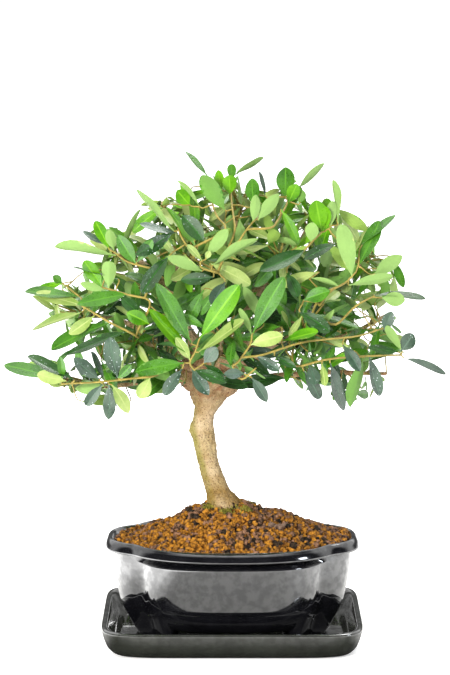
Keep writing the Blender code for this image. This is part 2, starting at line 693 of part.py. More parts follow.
def grow_leaves(shoot, terminal, tip, space, limbs, grown, dice):
    """One leaf at a shoot's end, then opposite pairs, each turned a quarter from the last."""
    marks = [0.0]
    for a, b in zip(shoot, shoot[1:]):
        marks.append(marks[-1] + (b - a).length)
    total = marks[-1]
    way = (shoot[-1] - shoot[-2]).normalized()
    if tip is not None and (tip - shoot[-1]).length < 1.05 * terminal:
        way = (tip - shoot[-1]).normalized()
    ends = [leaf_candidate(shoot[-1], way, way.orthogonal().normalized(), 0.0, 0.0,
                           terminal * (1.0 - 0.01 * k), dice) for k in range(LEAF_TRIES)]
    best_leaf(ends, space, limbs, grown)
    turn = dice.uniform(0.0, math.pi)
    pairs = 1 + int(total * (1.0 - SHOOT_BARE) / INTERNODE)
    for pair in range(pairs):
        at = total - FIRST_PAIR - pair * INTERNODE
        segment = max([i for i in range(len(marks) - 1) if marks[i] <= at], default=0)
        share = (at - marks[segment]) / (marks[segment + 1] - marks[segment])
        root = shoot[segment].lerp(shoot[segment + 1], max(0.1, share))
        shoot_way = (shoot[segment + 1] - shoot[segment]).normalized()
        side = Matrix.Rotation(turn + pair * math.pi / 2, 3, shoot_way)
        side = side @ shoot_way.orthogonal().normalized()
        age = min(1.0, 0.5 * pair)
        for sign in (1.0, -1.0):
            candidates = []
            length = LEAF_LENGTH * (YOUNG_LEAF_SHARE + (1.0 - YOUNG_LEAF_SHARE) * age)
            length *= dice.uniform(0.92, 1.06)
            for attempt in range(LEAF_TRIES):
                spread = dice.uniform(*LEAF_SPREAD) + OLD_LEAF_SPREAD * age
                spread += LEAF_SPREAD_STEP * attempt
                roll = Matrix.Rotation(dice.uniform(-LEAF_ROLL, LEAF_ROLL), 3, shoot_way)
                candidates.append(leaf_candidate(
                    root, shoot_way, roll @ (side * sign), spread,
                    age * dice.uniform(0.0, LEAF_DROOP), length * (1.0 - 0.03 * attempt), dice))
            best_leaf(candidates, space, limbs, grown)


def grow_stem(name, centre):
    """Stem of a mass: from just past its bough's end to a little beyond the middle of the space."""
    path, radii = bough_path(name)
    way = (path[-1] - path[-2]).normalized()
    start = path[-1] + way * GAP
    end = centre + (centre - start) * STEM_OVERSHOOT
    stem = bend_path(start, way, end, (end - start).normalized(), STEM_STEPS)
    thin = [radii[-1] + (STEM_TIP_RADIUS - radii[-1]) * i / STEM_STEPS for i in range(STEM_STEPS + 1)]
    return stem, thin


def shoot_ends(name, space, dice):
    """End and last leaf's length of each shoot: at the named tips, then spread round the space."""
    centre, _, _ = space
    ends = []
    for tip in MASSES[name][2]:
        tip = Vector(tip)
        length = min(LEAF_LENGTH * dice.uniform(0.85, 0.98), TIP_LEAF_SHARE * (tip - centre).length)
        ends.append((tip - (tip - centre).normalized() * length, length, tip))
    for k in range(FILL_SHOOTS):
        height = 1.0 - 1.9 * (k + 0.5) / FILL_SHOOTS
        turn = GOLDEN_ANGLE * (k + 3 * list(MASSES).index(name)) + dice.uniform(-0.4, 0.4)
        flat = math.sqrt(1.0 - height * height)
        out = Vector((flat * math.cos(turn), flat * math.sin(turn), height))
        length = TERMINAL_LENGTH * dice.uniform(0.85, 1.15)
        room = room_along(space, centre, out) - length
        ends.append((centre + out * max(SHOOT_SHORTEST, room), length, None))
    return ends


def grow_mass(name, spaces, limbs, middles):
    """Twigs and leaves of one mass, grown by the seeded rule from the end of its bough."""
    dice = random.Random(GROWTH_SEED * 1000 + list(MASSES).index(name))
    space = spaces[name]
    stem, thin = grow_stem(name, space[0])
    grown = {"twigs": [(stem, thin)], "leaves": [], "trees": [], "middles": middles}
    ready = []
    for end, terminal, tip in shoot_ends(name, space, dice):
        def misfit(i):
            away = (end - stem[i]).angle(stem[i + 1] - stem[i], 0.0)
            return abs(away - SHOOT_ANGLE)
        index = min(range(1, STEM_STEPS), key=misfit)
        out = (end - stem[index]).normalized()
        along = (stem[index + 1] - stem[index]).normalized()
        shoot = bend_path(stem[index], (along + out).normalized(), end, out, SHOOT_STEPS)
        slim = [SHOOT_RADIUS + (SHOOT_TIP_RADIUS - SHOOT_RADIUS) * i / SHOOT_STEPS
                for i in range(SHOOT_STEPS + 1)]
        while len(shoot) > 1 and not (
                all(in_space(space, point, SPACE_MARGIN + SHOOT_RADIUS) for point in shoot)
                and clear_of_limbs(shoot, slim, limbs)):
            shoot = shoot[:-1]
            slim = slim[:-1]
        if len(shoot) > 1:
            grown["twigs"].append((shoot, slim))
            ready.append((shoot, terminal, tip))
    for shoot, terminal, tip in ready:
        grow_leaves(shoot, terminal, tip, space, limbs, grown, dice)
    return grown["twigs"], grown["leaves"]


def leaf_mesh(leaf):
    """Thin closed leaf: a coarse ball whose ring is drawn out to the leaf's edge."""
    bm = bmesh.new()
    bmesh.ops.create_uvsphere(bm, u_segments=6, v_segments=2, radius=1.0)
    points = leaf_points(leaf)
    ring = sorted((vert for vert in bm.verts if abs(vert.co.z) < 0.5),
                  key=lambda vert: math.atan2(vert.co.y, vert.co.x) % (2 * math.pi))
    for vert, point in zip(ring, points):
        vert.co = point
    for vert in [vert for vert in bm.verts if vert not in ring]:
        vert.co = points[6] if vert.co.z > 0 else points[7]
    mesh = bpy.data.meshes.new("leaf")
    bm.to_mesh(mesh)
    bm.free()
    return mesh


def keep_largest_shell(item):
    """Drop sealed hollows and loose scraps that a union leaves, also where they touch at a point."""
    bm = bmesh.new()
    bm.from_mesh(item.data)
    seen = set()
    shells = []
    for seed in bm.faces:
        if seed in seen:
            continue
        shell = [seed]
        seen.add(seed)
        for face in shell:
            for edge in face.edges:
                for other in edge.link_faces:
                    if other not in seen:
                        seen.add(other)
                        shell.append(other)
        shells.append(shell)
    shells.sort(key=len)
    bmesh.ops.delete(bm, geom=[face for shell in shells[:-1] for face in shell], context="FACES")
    bm.to_mesh(item.data)
    bm.free()


def make_mass(name, spaces, limbs, middles, profile, collection, helpers, leaf_green):
    """One mass of leaves as one solid: its stem joined with its shoots and leaves."""
    twigs, leaves = grow_mass(name, spaces, limbs, middles)
    meshes = [curve_tube("twig", points, radii, profile) for points, radii in twigs]
    meshes += [leaf_mesh(leaf) for leaf in leaves]
    mass = place_object("foliage_" + name, meshes[0], leaf_green, collection)
    for mesh in meshes[1:]:
        place_object("sprig", mesh, leaf_green, helpers)
    join_by_union(mass, helpers, "MANIFOLD")
    keep_largest_shell(mass)


def twig_profile(guides):
    """Three cornered outline of a twig, one metre in radius, that a twig's own radius scales."""
    curve = bpy.data.curves.new("twig outline", "CURVE")
    curve.dimensions = "2D"
    spline = curve.splines.new("POLY")
    spline.points.add(2)
    for i, knot in enumerate(spline.points):
        angle = 2.0 * math.pi * i / 3
        knot.co = (math.cos(angle), math.sin(angle), 0.0, 1.0)
    spline.use_cyclic_u = True
    item = bpy.data.objects.new("twig outline", curve)
    item.hide_render = True
    item.display_type = "WIRE"
    guides.objects.link(item)
    return item


def main():
    """Build the whole plant with its pot."""
    clear_scene()
    plant = bpy.data.collections.new("olive bonsai")
    cutters = bpy.data.collections.new("cutters")
    helpers = bpy.data.collections.new("helpers")
    for collection in (plant, cutters, helpers):
        bpy.context.scene.collection.children.link(collection)
    make_tray(plant)
    make_pot(plant, helpers)
    make_soil(plant)
    bark = make_material("bark", (0.48, 0.37, 0.24), 0.85)
    trunk = place_object("trunk", trunk_mesh(0.0), bark, plant)
    boughs = make_boughs(plant, cutters, bark)
    graph = bpy.context.evaluated_depsgraph_get()
    limbs = {"trunk": BVHTree.FromObject(trunk, graph)}
    for name, bough in boughs.items():
        limbs[name] = BVHTree.FromObject(bough, graph)
    profile = twig_profile(cutters)
    leaf_green = make_material("olive leaf", (0.10, 0.28, 0.05), 0.45)
    spaces = mass_spaces()
    middles = []
    for name in MASSES:
        make_mass(name, spaces, limbs, middles, profile, plant, helpers, leaf_green)
    print("leaves", len(middles))


main()
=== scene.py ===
# %% [markdown]
# # Olive bonsai in a black glazed pot
# This lesson dresses a imported model of a small olive tree. The imported model gives every piece its
# place and size, and this script gives each piece its finish: glaze, clay granules, bark and
# leaves. The first lines load that model as a fixed frame, in metres, with +Z up and the origin
# under the middle of the drip tray. Its box is kept, to print beside the dressed model's box at
# the end.

# %% Load the frame
import itertools
import math
import random

import bmesh
import bpy
import numpy as np
from mathutils import Matrix, Vector, noise
from mathutils.bvhtree import BVHTree
from mathutils.kdtree import KDTree


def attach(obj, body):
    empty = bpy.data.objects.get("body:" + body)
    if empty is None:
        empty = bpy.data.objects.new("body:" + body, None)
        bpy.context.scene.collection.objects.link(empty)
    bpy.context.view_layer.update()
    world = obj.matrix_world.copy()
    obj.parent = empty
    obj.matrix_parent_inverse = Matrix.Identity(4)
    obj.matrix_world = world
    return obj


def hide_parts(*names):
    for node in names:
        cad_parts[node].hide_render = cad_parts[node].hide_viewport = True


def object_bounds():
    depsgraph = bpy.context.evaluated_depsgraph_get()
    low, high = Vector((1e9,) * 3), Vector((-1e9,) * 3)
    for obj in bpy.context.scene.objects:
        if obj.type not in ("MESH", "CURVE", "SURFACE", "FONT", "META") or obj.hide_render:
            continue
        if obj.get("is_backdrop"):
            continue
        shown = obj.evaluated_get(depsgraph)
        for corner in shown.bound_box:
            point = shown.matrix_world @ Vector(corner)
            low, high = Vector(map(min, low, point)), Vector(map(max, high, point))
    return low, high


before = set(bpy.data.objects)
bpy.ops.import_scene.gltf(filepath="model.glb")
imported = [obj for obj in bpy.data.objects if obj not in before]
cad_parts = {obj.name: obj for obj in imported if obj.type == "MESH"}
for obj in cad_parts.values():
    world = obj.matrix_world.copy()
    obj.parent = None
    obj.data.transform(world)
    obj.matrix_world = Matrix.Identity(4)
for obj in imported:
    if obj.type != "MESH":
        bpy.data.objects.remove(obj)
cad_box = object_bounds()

print("nodes in the frame:", len(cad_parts))

# %% [markdown]
# ## Camera
# The photograph looks slightly down on the tree from far away, so its lines hardly converge. A
# long lens at more than two metres gives that view. The camera's numbers are named first, because
# the tree's leading leaves are placed further on by looking through the same camera.

# %% Camera
PICTURE_WIDTH = 450
PICTURE_HEIGHT = 675
CAMERA_PLACE = Vector((-0.0056, -2.1735, 0.5856))
CAMERA_TILT = math.radians(8.9)
CAMERA_LENS = 146.7
CAMERA_FILM = 36.0

scene = bpy.context.scene
camera_data = bpy.data.cameras.new("camera")
camera_data.lens = CAMERA_LENS
camera_data.sensor_fit = "VERTICAL"
camera_data.sensor_height = CAMERA_FILM
camera = bpy.data.objects.new("camera", camera_data)
camera.location = CAMERA_PLACE
camera.rotation_euler = (math.pi / 2 - CAMERA_TILT, 0.0, 0.0)
scene.collection.objects.link(camera)
scene.camera = camera
print("camera stands", round(-CAMERA_PLACE.y, 2), "m in front of the tree")

# %% [markdown]
# ## Light
# The photograph is bright and nearly without shadow: a white room of light, with one strong soft
# lamp low on the left in front, a weak bluish one on the right and one above from behind. A white
# world gives the room, and square area lights give the rest. The strong one only lights: it isn't
# seen in the glaze, where it would hide the grey of the table. The other two leave small
# highlights there and on the waxy leaves.

# %% Lights
# Name, place, height of the spot it points at, size, power, colour, and whether the glaze shows it
LIGHTS = (
    ("key light", (-0.9, -1.8, 0.75), 0.2, 0.5, 60.0, (1.0, 0.99, 0.96), False),
    ("fill light", (1.75, -1.15, 0.8), 0.2, 0.4, 13.0, (0.86, 0.92, 1.0), True),
    ("top light", (0.3, 0.8, 1.9), 0.25, 0.9, 26.0, (1.0, 1.0, 1.0), True),
)


def add_softbox(name, place, aim_height, size, power, colour, mirrored):
    """Square area light that points at the tree, and is or isn't seen in the glaze."""
    data = bpy.data.lights.new(name, "AREA")
    data.shape = "SQUARE"
    data.size = size
    data.energy = power
    data.color = colour
    light = bpy.data.objects.new(name, data)
    light.location = place
    light.visible_glossy = mirrored
    aim = Vector((0.0, 0.0, aim_height)) - Vector(place)
    light.rotation_euler = aim.to_track_quat("-Z", "Y").to_euler()
    scene.collection.objects.link(light)


for row in LIGHTS:
    add_softbox(*row)
scene.view_settings.view_transform = "Standard"

# %% [markdown]
# ## Shader tools
# Every finish here is made of nodes. Nodes could be placed by hand in the shader editor, but a
# script rebuilds them the same way each time. Two short helpers place a node and wire it; a third
# starts a node group, which holds an effect that several finishes share.

# %% Node helpers
def wire(tree, socket, value):
    """Link a socket to another, or set its plain value."""
    if isinstance(value, bpy.types.NodeSocket):
        tree.links.new(value, socket)
    else:
        socket.default_value = value


def add_node(tree, kind, sockets, **settings):
    """Shader node with its settings, sockets wired by name or number."""
    node = tree.nodes.new(kind)
    for name, value in settings.items():
        setattr(node, name, value)
    for name, value in sockets.items():
        wire(tree, node.inputs[name], value)
    return node


def start_group(name, inputs, outputs):
    """Empty node group with named sockets; gives the group, its inner inputs and outputs."""
    group = bpy.data.node_groups.new(name, "ShaderNodeTree")
    for label, kind, value in inputs:
        socket = group.interface.new_socket(label, in_out="INPUT", socket_type=kind)
        socket.default_value = value
    for label, kind in outputs:
        group.interface.new_socket(label, in_out="OUTPUT", socket_type=kind)
    source = group.nodes.new("NodeGroupInput")
    sink = group.nodes.new("NodeGroupOutput")
    return group, source.outputs, sink.inputs


# %% [markdown]
# ## White room
# A plain white world would do for a matt object, but black glaze shows the room. So the world's
# brightness changes with direction, and with what a ray is for. The camera sees plain white, and
# soft light comes mostly from above. What the glaze mirrors is dark in front, between table and
# lamps, where the room behind the photographer is unlit, and low at the back. That is why the
# pot's lip and feet look black although all else round the tree is white.

# %% World
SKY_GLOW = (0.50, 0.94)
ROOM_GLOW = (1.15, 0.03)
CEILING_GLOW = 0.7
LOW_BACK_SHARE = 0.8
BACKDROP_WHITE = 1.02
# Where each change starts and ends, as the ray's part that points back (Y) or up (Z)
SKY_RISE = (-0.2, 0.9)
TO_FRONT = (0.20, -0.25)
TO_BACK = (0.2, 0.6)
OVER_TABLE = (-0.02, 0.10)
UNDER_LAMPS = (0.92, 0.70)
LOW_BACK_TOP = (0.42, 0.24)
CEILING = (0.80, 0.95)

world = bpy.data.worlds.new("white room")
world.use_nodes = True
tree = world.node_tree
backdrop = tree.nodes["Background"]


def ramp(tree, value, start, end, low=0.0, high=1.0):
    """Value carried smoothly from one range to another."""
    sockets = {"Value": value, "From Min": start, "From Max": end, "To Min": low, "To Max": high}
    return add_node(tree, "ShaderNodeMapRange", sockets,
                    interpolation_type="SMOOTHSTEP").outputs["Result"]


def combine(tree, operation, first, second):
    """One arithmetic step."""
    return add_node(tree, "ShaderNodeMath", {0: first, 1: second}, operation=operation).outputs[0]


def times(tree, first, second):
    """Product of two values."""
    return combine(tree, "MULTIPLY", first, second)


def parts_of(tree, kind):
    """X, Y and Z of a direction or place, by the kind of coordinate."""
    vector = add_node(tree, "ShaderNodeTexCoord", {}).outputs[kind]
    return add_node(tree, "ShaderNodeSeparateXYZ", {"Vector": vector}).outputs


def choose(tree, share, low, high):
    """Plain value that is low for a share of 0 and high for 1."""
    return add_node(tree, "ShaderNodeMix", {"Factor": share, "A": low, "B": high},
                    data_type="FLOAT").outputs["Result"]


parts = parts_of(tree, "Generated")
sky = ramp(tree, parts["Z"], *SKY_RISE, *SKY_GLOW)
in_front = ramp(tree, parts["Y"], *TO_FRONT)
above_table = ramp(tree, parts["Z"], *OVER_TABLE)
below_lamps = ramp(tree, parts["Z"], *UNDER_LAMPS)
front_room = times(tree, in_front, times(tree, above_table, below_lamps))
low_back = times(tree, ramp(tree, parts["Y"], *TO_BACK), ramp(tree, parts["Z"], *LOW_BACK_TOP))
low_back = times(tree, low_back, times(tree, above_table, LOW_BACK_SHARE))
dark_side = combine(tree, "MAXIMUM", front_room, low_back)
room = ramp(tree, dark_side, 0.0, 1.0, *ROOM_GLOW)
mirrored = combine(tree, "ADD", room, ramp(tree, parts["Z"], *CEILING, 0.0, CEILING_GLOW))
rays = add_node(tree, "ShaderNodeLightPath", {}).outputs
lit = choose(tree, rays["Is Glossy Ray"], sky, mirrored)
wire(tree, backdrop.inputs["Strength"], choose(tree, rays["Is Camera Ray"], lit, BACKDROP_WHITE))
backdrop.inputs["Color"].default_value = (1.0, 1.0, 1.0, 1.0)
scene.world = world
print("world has", len(tree.nodes), "nodes")

# %% [markdown]
# ## Floor
# The tree stands on a plain pale table that melts into the white background. One large flat sheet
# is enough. It is marked as stage, so it isn't part of the tree. The black glaze shows little but
# this table, so its light matters more than its own look: for mirrored rays it is dim close round
# the tray's foot, where tray and pot keep the light off, and glows from a hand's breadth out, much
# more to the left, where the strong lamp stands, than to the right.

# %% Floor
FLOOR_REACH = 6.0
FOOT_SHADE = (0.088, 0.066)
# Each row: where a change starts and ends in metres, and its values there
SHADE_EDGE = (0.013, 0.050, 0.05, 1.0)
LEFT_GLOW = (-0.11, -0.25, 0.0, 3.9)
RIGHT_GLOW = (0.12, 0.26, 0.0, 0.85)
SEEN_GLOW = (-0.01, 0.055, 0.34, 0.95)


def linear(shown):
    """Light of one colour channel, from the share that a screen shows."""
    return shown / 12.92 if shown <= 0.04045 else ((shown + 0.055) / 1.055) ** 2.4


def paint(red, green, blue):
    """Colour as a shader wants it, from the numbers 0 to 255 that a screen shows."""
    return tuple(linear(value / 255.0) for value in (red, green, blue)) + (1.0,)


def tint(tree, mask, colour, over):
    """Colour laid over another where the mask is 1."""
    return add_node(tree, "ShaderNodeMix", {"Factor": mask, "A": colour, "B": over},
                    data_type="RGBA").outputs["Result"]


def mesh_object(name, points, faces):
    """Object from points and faces, linked into the scene and shaded smooth."""
    mesh = bpy.data.meshes.new(name)
    mesh.from_pydata([tuple(point) for point in points], [], faces)
    mesh.shade_smooth()
    item = bpy.data.objects.new(name, mesh)
    scene.collection.objects.link(item)
    return item


corners = [(x * FLOOR_REACH, y * FLOOR_REACH, 0.0) for x, y in ((-1, -1), (1, -1), (1, 1), (-1, 1))]
table = mesh_object("table", corners, [(0, 1, 2, 3)])
table_paint = bpy.data.materials.new("white table")
table_paint.use_nodes = True
tree = table_paint.node_tree
shader = tree.nodes["Principled BSDF"]
shader.inputs["Roughness"].default_value = 0.6
parts = parts_of(tree, "Object")
beside = combine(tree, "SUBTRACT", combine(tree, "ABSOLUTE", parts["X"], 0.0), FOOT_SHADE[0])
before = combine(tree, "SUBTRACT", combine(tree, "ABSOLUTE", parts["Y"], 0.0), FOOT_SHADE[1])
away = combine(tree, "MAXIMUM", beside, before)
rays = add_node(tree, "ShaderNodeLightPath", {}).outputs
# Painted shadow: for mirrored rays the table is black close round the tray's foot.
bare = combine(tree, "MAXIMUM", ramp(tree, away, *SHADE_EDGE),
               combine(tree, "SUBTRACT", 1.0, rays["Is Glossy Ray"]))
wire(tree, shader.inputs["Base Color"],
     tint(tree, bare, (0.0, 0.0, 0.0, 1.0), (0.93, 0.92, 0.90, 1.0)))
# Painted light: for mirrored rays the table glows, most on the left, where the strong lamp stands.
left = ramp(tree, parts["X"], *LEFT_GLOW)
sides = combine(tree, "ADD", left, ramp(tree, parts["X"], *RIGHT_GLOW))
mirrored_glow = times(tree, rays["Is Glossy Ray"], sides)
# Painted soft shadow: the white that the camera sees dims close round the tray's foot.
seen_glow = times(tree, rays["Is Camera Ray"], ramp(tree, away, *SEEN_GLOW))
wire(tree, shader.inputs["Emission Strength"], combine(tree, "ADD", mirrored_glow, seen_glow))
shader.inputs["Emission Color"].default_value = (1.0, 1.0, 1.0, 1.0)
table.data.materials.append(table_paint)
table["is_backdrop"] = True
print("table is", 2 * FLOOR_REACH, "m wide")

# %% [markdown]
# ## Clouds of colour
# Clay, bark, glaze and leaves are never one even colour. The first shared group, `mottle`, turns
# noise into a soft, cloudy change between two colours, and gives the mask too, for roughness and
# relief. A painted picture could do it, but it would need unwrapping and show its pixels up close.

# %% Mottle group
FLOAT = "NodeSocketFloat"
COLOUR = "NodeSocketColor"
mottle, given, result = start_group(
    "mottle",
    [("Scale", FLOAT, 100.0), ("Dark", COLOUR, (0.1, 0.1, 0.1, 1.0)),
     ("Light", COLOUR, (0.5, 0.5, 0.5, 1.0)), ("Softness", FLOAT, 0.2)],
    [("Colour", COLOUR), ("Mask", FLOAT)])
place = add_node(mottle, "ShaderNodeTexCoord", {})
cloud = add_node(mottle, "ShaderNodeTexNoise",
                 {"Vector": place.outputs["Object"], "Scale": given["Scale"], "Detail": 4.0,
                  "Roughness": 0.6})
lower = combine(mottle, "SUBTRACT", 0.5, given["Softness"])
upper = combine(mottle, "ADD", 0.5, given["Softness"])
spread = add_node(mottle, "ShaderNodeMapRange",
                  {"Value": cloud.outputs["Fac"], "From Min": lower, "From Max": upper})
mask = spread.outputs["Result"]
wire(mottle, result["Colour"], tint(mottle, mask, given["Dark"], given["Light"]))
wire(mottle, result["Mask"], mask)
print("group", mottle.name, "gives", [item.name for item in mottle.interface.items_tree][-2:])

# %% [markdown]
# ## Small round marks
# Pores in bark, pinholes in glaze, dust on clay and the painted glints of water drops are all small
# round marks. The group `specks` takes cells of random size, keeps a dot in the middle of each, and
# drops the dots where a coarse noise is low, so that they come in patches.

# %% Specks group
specks, given, result = start_group(
    "specks",
    [("Scale", FLOAT, 500.0), ("Size", FLOAT, 0.2), ("Patchiness", FLOAT, 0.5)],
    [("Mask", FLOAT)])
place = add_node(specks, "ShaderNodeTexCoord", {})
cells = add_node(specks, "ShaderNodeTexVoronoi",
                 {"Vector": place.outputs["Object"], "Scale": given["Scale"]})
dots = add_node(specks, "ShaderNodeMapRange",
                {"Value": cells.outputs["Distance"], "From Min": given["Size"],
                 "From Max": times(specks, given["Size"], 0.7)})
patches = add_node(specks, "ShaderNodeTexNoise",
                   {"Vector": place.outputs["Object"],
                    "Scale": times(specks, given["Scale"], 0.12)})
kept = combine(specks, "GREATER_THAN", patches.outputs["Fac"], given["Patchiness"])
wire(specks, result["Mask"], times(specks, dots.outputs["Result"], kept))
print("group", specks.name, "ready")

# %% [markdown]
# A finish starts from one Principled shader. The helper below makes the material, sets the plain
# numbers on the shader's own sockets, and hands back the tree, so each finish adds only what makes
# it itself. A relief helper turns a height into a slightly uneven surface.

# %% Finish helpers
def start_finish(name, **plain):
    """Material with a Principled shader; plain values go on its sockets, by their names."""
    material = bpy.data.materials.new(name)
    material.use_nodes = True
    tree = material.node_tree
    shader = tree.nodes["Principled BSDF"]
    for label, value in plain.items():
        shader.inputs[label.replace("_", " ")].default_value = value
    return material, tree, shader


def use_group(tree, group, **values):
    """Place a node group in a material with its own values; gives its outputs."""
    sockets = {label.replace("_", " "): value for label, value in values.items()}
    node = tree.nodes.new("ShaderNodeGroup")
    node.node_tree = group
    for label, value in sockets.items():
        wire(tree, node.inputs[label], value)
    return node.outputs


def range_of(tree, mask, low, high):
    """Value that runs from low to high as a mask runs from 0 to 1."""
    return add_node(tree, "ShaderNodeMapRange",
                    {"Value": mask, "To Min": low, "To Max": high}).outputs["Result"]


def lighter(colour, gain, lift=0.0):
    """Colour made brighter, but never brighter than white."""
    return tuple(min(1.0, gain * part + lift) for part in colour[:3]) + (1.0,)


def relief(tree, shader, height, depth, strength=1.0):
    """Bump from a height mask, its depth in metres."""
    bump = add_node(tree, "ShaderNodeBump",
                    {"Height": height, "Distance": depth, "Strength": strength})
    wire(tree, shader.inputs["Normal"], bump.outputs["Normal"])


# %% [markdown]
# ## Black glaze
# Pot and tray carry a thick, glassy black glaze. It shows almost nothing but reflections: grey
# where it mirrors the white table, black where it mirrors the tray. A high index of refraction
# makes the mirror strong even head on. Fired glaze is never quite even, so its roughness drifts in
# soft clouds, and tiny pinholes and settled dust catch a little light. The feet get a copy of the
# glaze that mirrors much less, as painted shade, so that they stay deep black.

# %% Glaze finish
def glaze_finish(name, colour, shine, index=1.85, coat=(0.15, 0.95)):
    """Glassy dark glaze with cloudy shine, pinholes and a slightly wavy skin."""
    material, tree, shader = start_finish(
        name, IOR=index, Coat_Roughness=0.03, Coat_IOR=1.55)
    clouds = use_group(tree, mottle, Scale=70.0, Dark=colour, Light=lighter(colour, 1.6, 0.001),
                       Softness=0.16)
    holes = use_group(tree, specks, Scale=900.0, Size=0.16, Patchiness=0.56)
    dust = range_of(tree, holes["Mask"], 0.0, 0.2)
    wire(tree, shader.inputs["Base Color"],
         tint(tree, dust, clouds["Colour"], paint(110, 110, 106)))
    wire(tree, shader.inputs["Roughness"], range_of(tree, clouds["Mask"], shine, shine + 0.07))
    smudges = use_group(tree, mottle, Scale=150.0, Softness=0.09)
    wire(tree, shader.inputs["Coat Weight"], range_of(tree, smudges["Mask"], *coat))
    waves = use_group(tree, mottle, Scale=34.0, Softness=0.4)
    relief(tree, shader, waves["Mask"], depth=0.0006, strength=0.35)
    return material


POT_BLACK = (0.003, 0.003, 0.004, 1.0)
TRAY_BLACK = (0.010, 0.011, 0.008, 1.0)
pot_glaze = glaze_finish("black pot glaze", POT_BLACK, 0.05)
tray_glaze = glaze_finish("black tray glaze", TRAY_BLACK, 0.07)
# The feet's copy of the glaze mirrors much less: painted shade.
shaded_feet_glaze = glaze_finish("black glaze in painted shade", POT_BLACK, 0.06, index=1.38, coat=(0.03, 0.12))
print("glazes:", pot_glaze.name, "and", tray_glaze.name, "and", shaded_feet_glaze.name)

# %% [markdown]
# ## Mesh tools
# Thrown and moulded ware is a profile carried round an outline, so both pot and tray are stacks of
# rings. The profile lists height and inset, and its corners are rounded by short curves, because
# no glazed edge is sharp. Big meshes are filled from arrays, which is much faster than point by
# point.

# %% Mesh tools
def numbers(word):
    """Numbers of a word such as 12,3.5,-7."""
    return [float(part) for part in word.split(",")]


def in_metres(row):
    """Rows of numbers in metres, from words in millimetres."""
    return [tuple(round(value / 1000.0, 7) for value in numbers(word)) for word in row.split()]


def filled_mesh(name, points, faces, finishes, slots=None):
    """Object from an array of points and an array of faces with equal corner counts."""
    mesh = bpy.data.meshes.new(name)
    points = np.asarray(points, dtype=np.float32).reshape(-1, 3)
    faces = np.asarray(faces, dtype=np.int32)
    count, corners = faces.shape
    mesh.vertices.add(len(points))
    mesh.vertices.foreach_set("co", points.ravel())
    mesh.loops.add(count * corners)
    mesh.loops.foreach_set("vertex_index", faces.ravel())
    mesh.polygons.add(count)
    mesh.polygons.foreach_set("loop_start", np.arange(0, count * corners, corners, dtype=np.int32))
    mesh.polygons.foreach_set("loop_total", np.full(count, corners, dtype=np.int32))
    if slots is not None:
        mesh.polygons.foreach_set("material_index", np.asarray(slots, dtype=np.int32))
    mesh.update(calc_edges=True)
    mesh.validate()
    mesh.shade_smooth()
    for finish in finishes:
        mesh.materials.append(finish)
    item = bpy.data.objects.new(name, mesh)
    scene.collection.objects.link(item)
    return item


# %% Rings and profiles
def loft(name, rings, finish, closed=False):
    """Skin over rings with equal counts: capped at both ends, or closed into a hoop."""
    rings = np.array([[tuple(point) for point in ring] for ring in rings])
    rows, count, _ = rings.shape
    faces = []
    for row in range(rows if closed else rows - 1):
        low = row * count
        high = (row + 1) % rows * count
        faces += [(low + i, low + (i + 1) % count, high + (i + 1) % count, high + i)
                  for i in range(count)]
    points = rings.reshape(-1, 3)
    if not closed:
        ends = [rings[0].mean(axis=0), rings[-1].mean(axis=0)]
        points = np.vstack([points, ends])
        last = (rows - 1) * count
        foot = rows * count
        faces += [(foot, (i + 1) % count, i, i) for i in range(count)]
        faces += [(foot + 1, last + i, last + (i + 1) % count, last + i) for i in range(count)]
    item = mesh_object(name, points, [tuple(dict.fromkeys(face)) for face in faces])
    item.data.materials.append(finish)
    return item


def rounded(profile, radius, steps=4):
    """Profile of rows of numbers with every corner rounded off."""
    rows = [Vector(row) for row in profile]
    result = [rows[0]]
    for before, corner, after in zip(rows, rows[1:], rows[2:]):
        into = min(radius, (corner - before).length * 0.45)
        out = min(radius, (after - corner).length * 0.45)
        start = corner + (before - corner).normalized() * into
        end = corner + (after - corner).normalized() * out
        for step in range(steps + 1):
            t = step / steps
            result.append(start * (1 - t) ** 2 + corner * 2 * t * (1 - t) + end * t * t)
    result.append(rows[-1])
    return result


def smooth_step(low, high, value):
    """0 below low, 1 above high, and a soft S between; falls instead where high is the smaller."""
    t = min(1.0, max(0.0, (value - low) / (high - low)))
    return t * t * (3.0 - 2.0 * t)


def superellipse_radius(angle, half_width, half_depth, squareness):
    """Distance from the centre to a superellipse at a polar angle."""
    along = abs(math.cos(angle) / half_width) ** squareness
    across = abs(math.sin(angle) / half_depth) ** squareness
    return (along + across) ** (-1.0 / squareness)


# %% [markdown]
# ## Drip tray
# The tray is a rounded rectangle whose walls flare a little, with a narrow flat rim. It could be a
# box with bevels, but a superellipse gives its soft corners at once and keeps the walls smooth for
# the long reflections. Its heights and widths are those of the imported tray, with squarer corners.

# %% Drip tray
TRAY_HALF_WIDTH = 0.1045
TRAY_HALF_DEPTH = 0.082
TRAY_SQUARENESS = 8.0
# In millimetres: height and inset
TRAY_PROFILE = in_metres(
    "0,13 1.5,8.5 6,4.5 13,2 20.8,0 22,1.2 22,4.2 20,5.8 8,10.5 4.5,15 4.5,40")
TRAY_EDGE_RADIUS = 0.0016
TRAY_POINTS = 240


def tray_ring(height, inset):
    """Ring of the tray at a height."""
    ring = []
    for i in range(TRAY_POINTS):
        angle = 2.0 * math.pi * i / TRAY_POINTS
        reach = superellipse_radius(angle, TRAY_HALF_WIDTH - inset, TRAY_HALF_DEPTH - inset,
                                    TRAY_SQUARENESS)
        ring.append((reach * math.cos(angle), reach * math.sin(angle), height))
    return ring


tray_profile = rounded(TRAY_PROFILE, TRAY_EDGE_RADIUS)
tray = loft("drip_tray", [tray_ring(height, inset) for height, inset in tray_profile], tray_glaze)
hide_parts("tray")
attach(tray, "root")
print("tray faces:", len(tray.data.polygons))

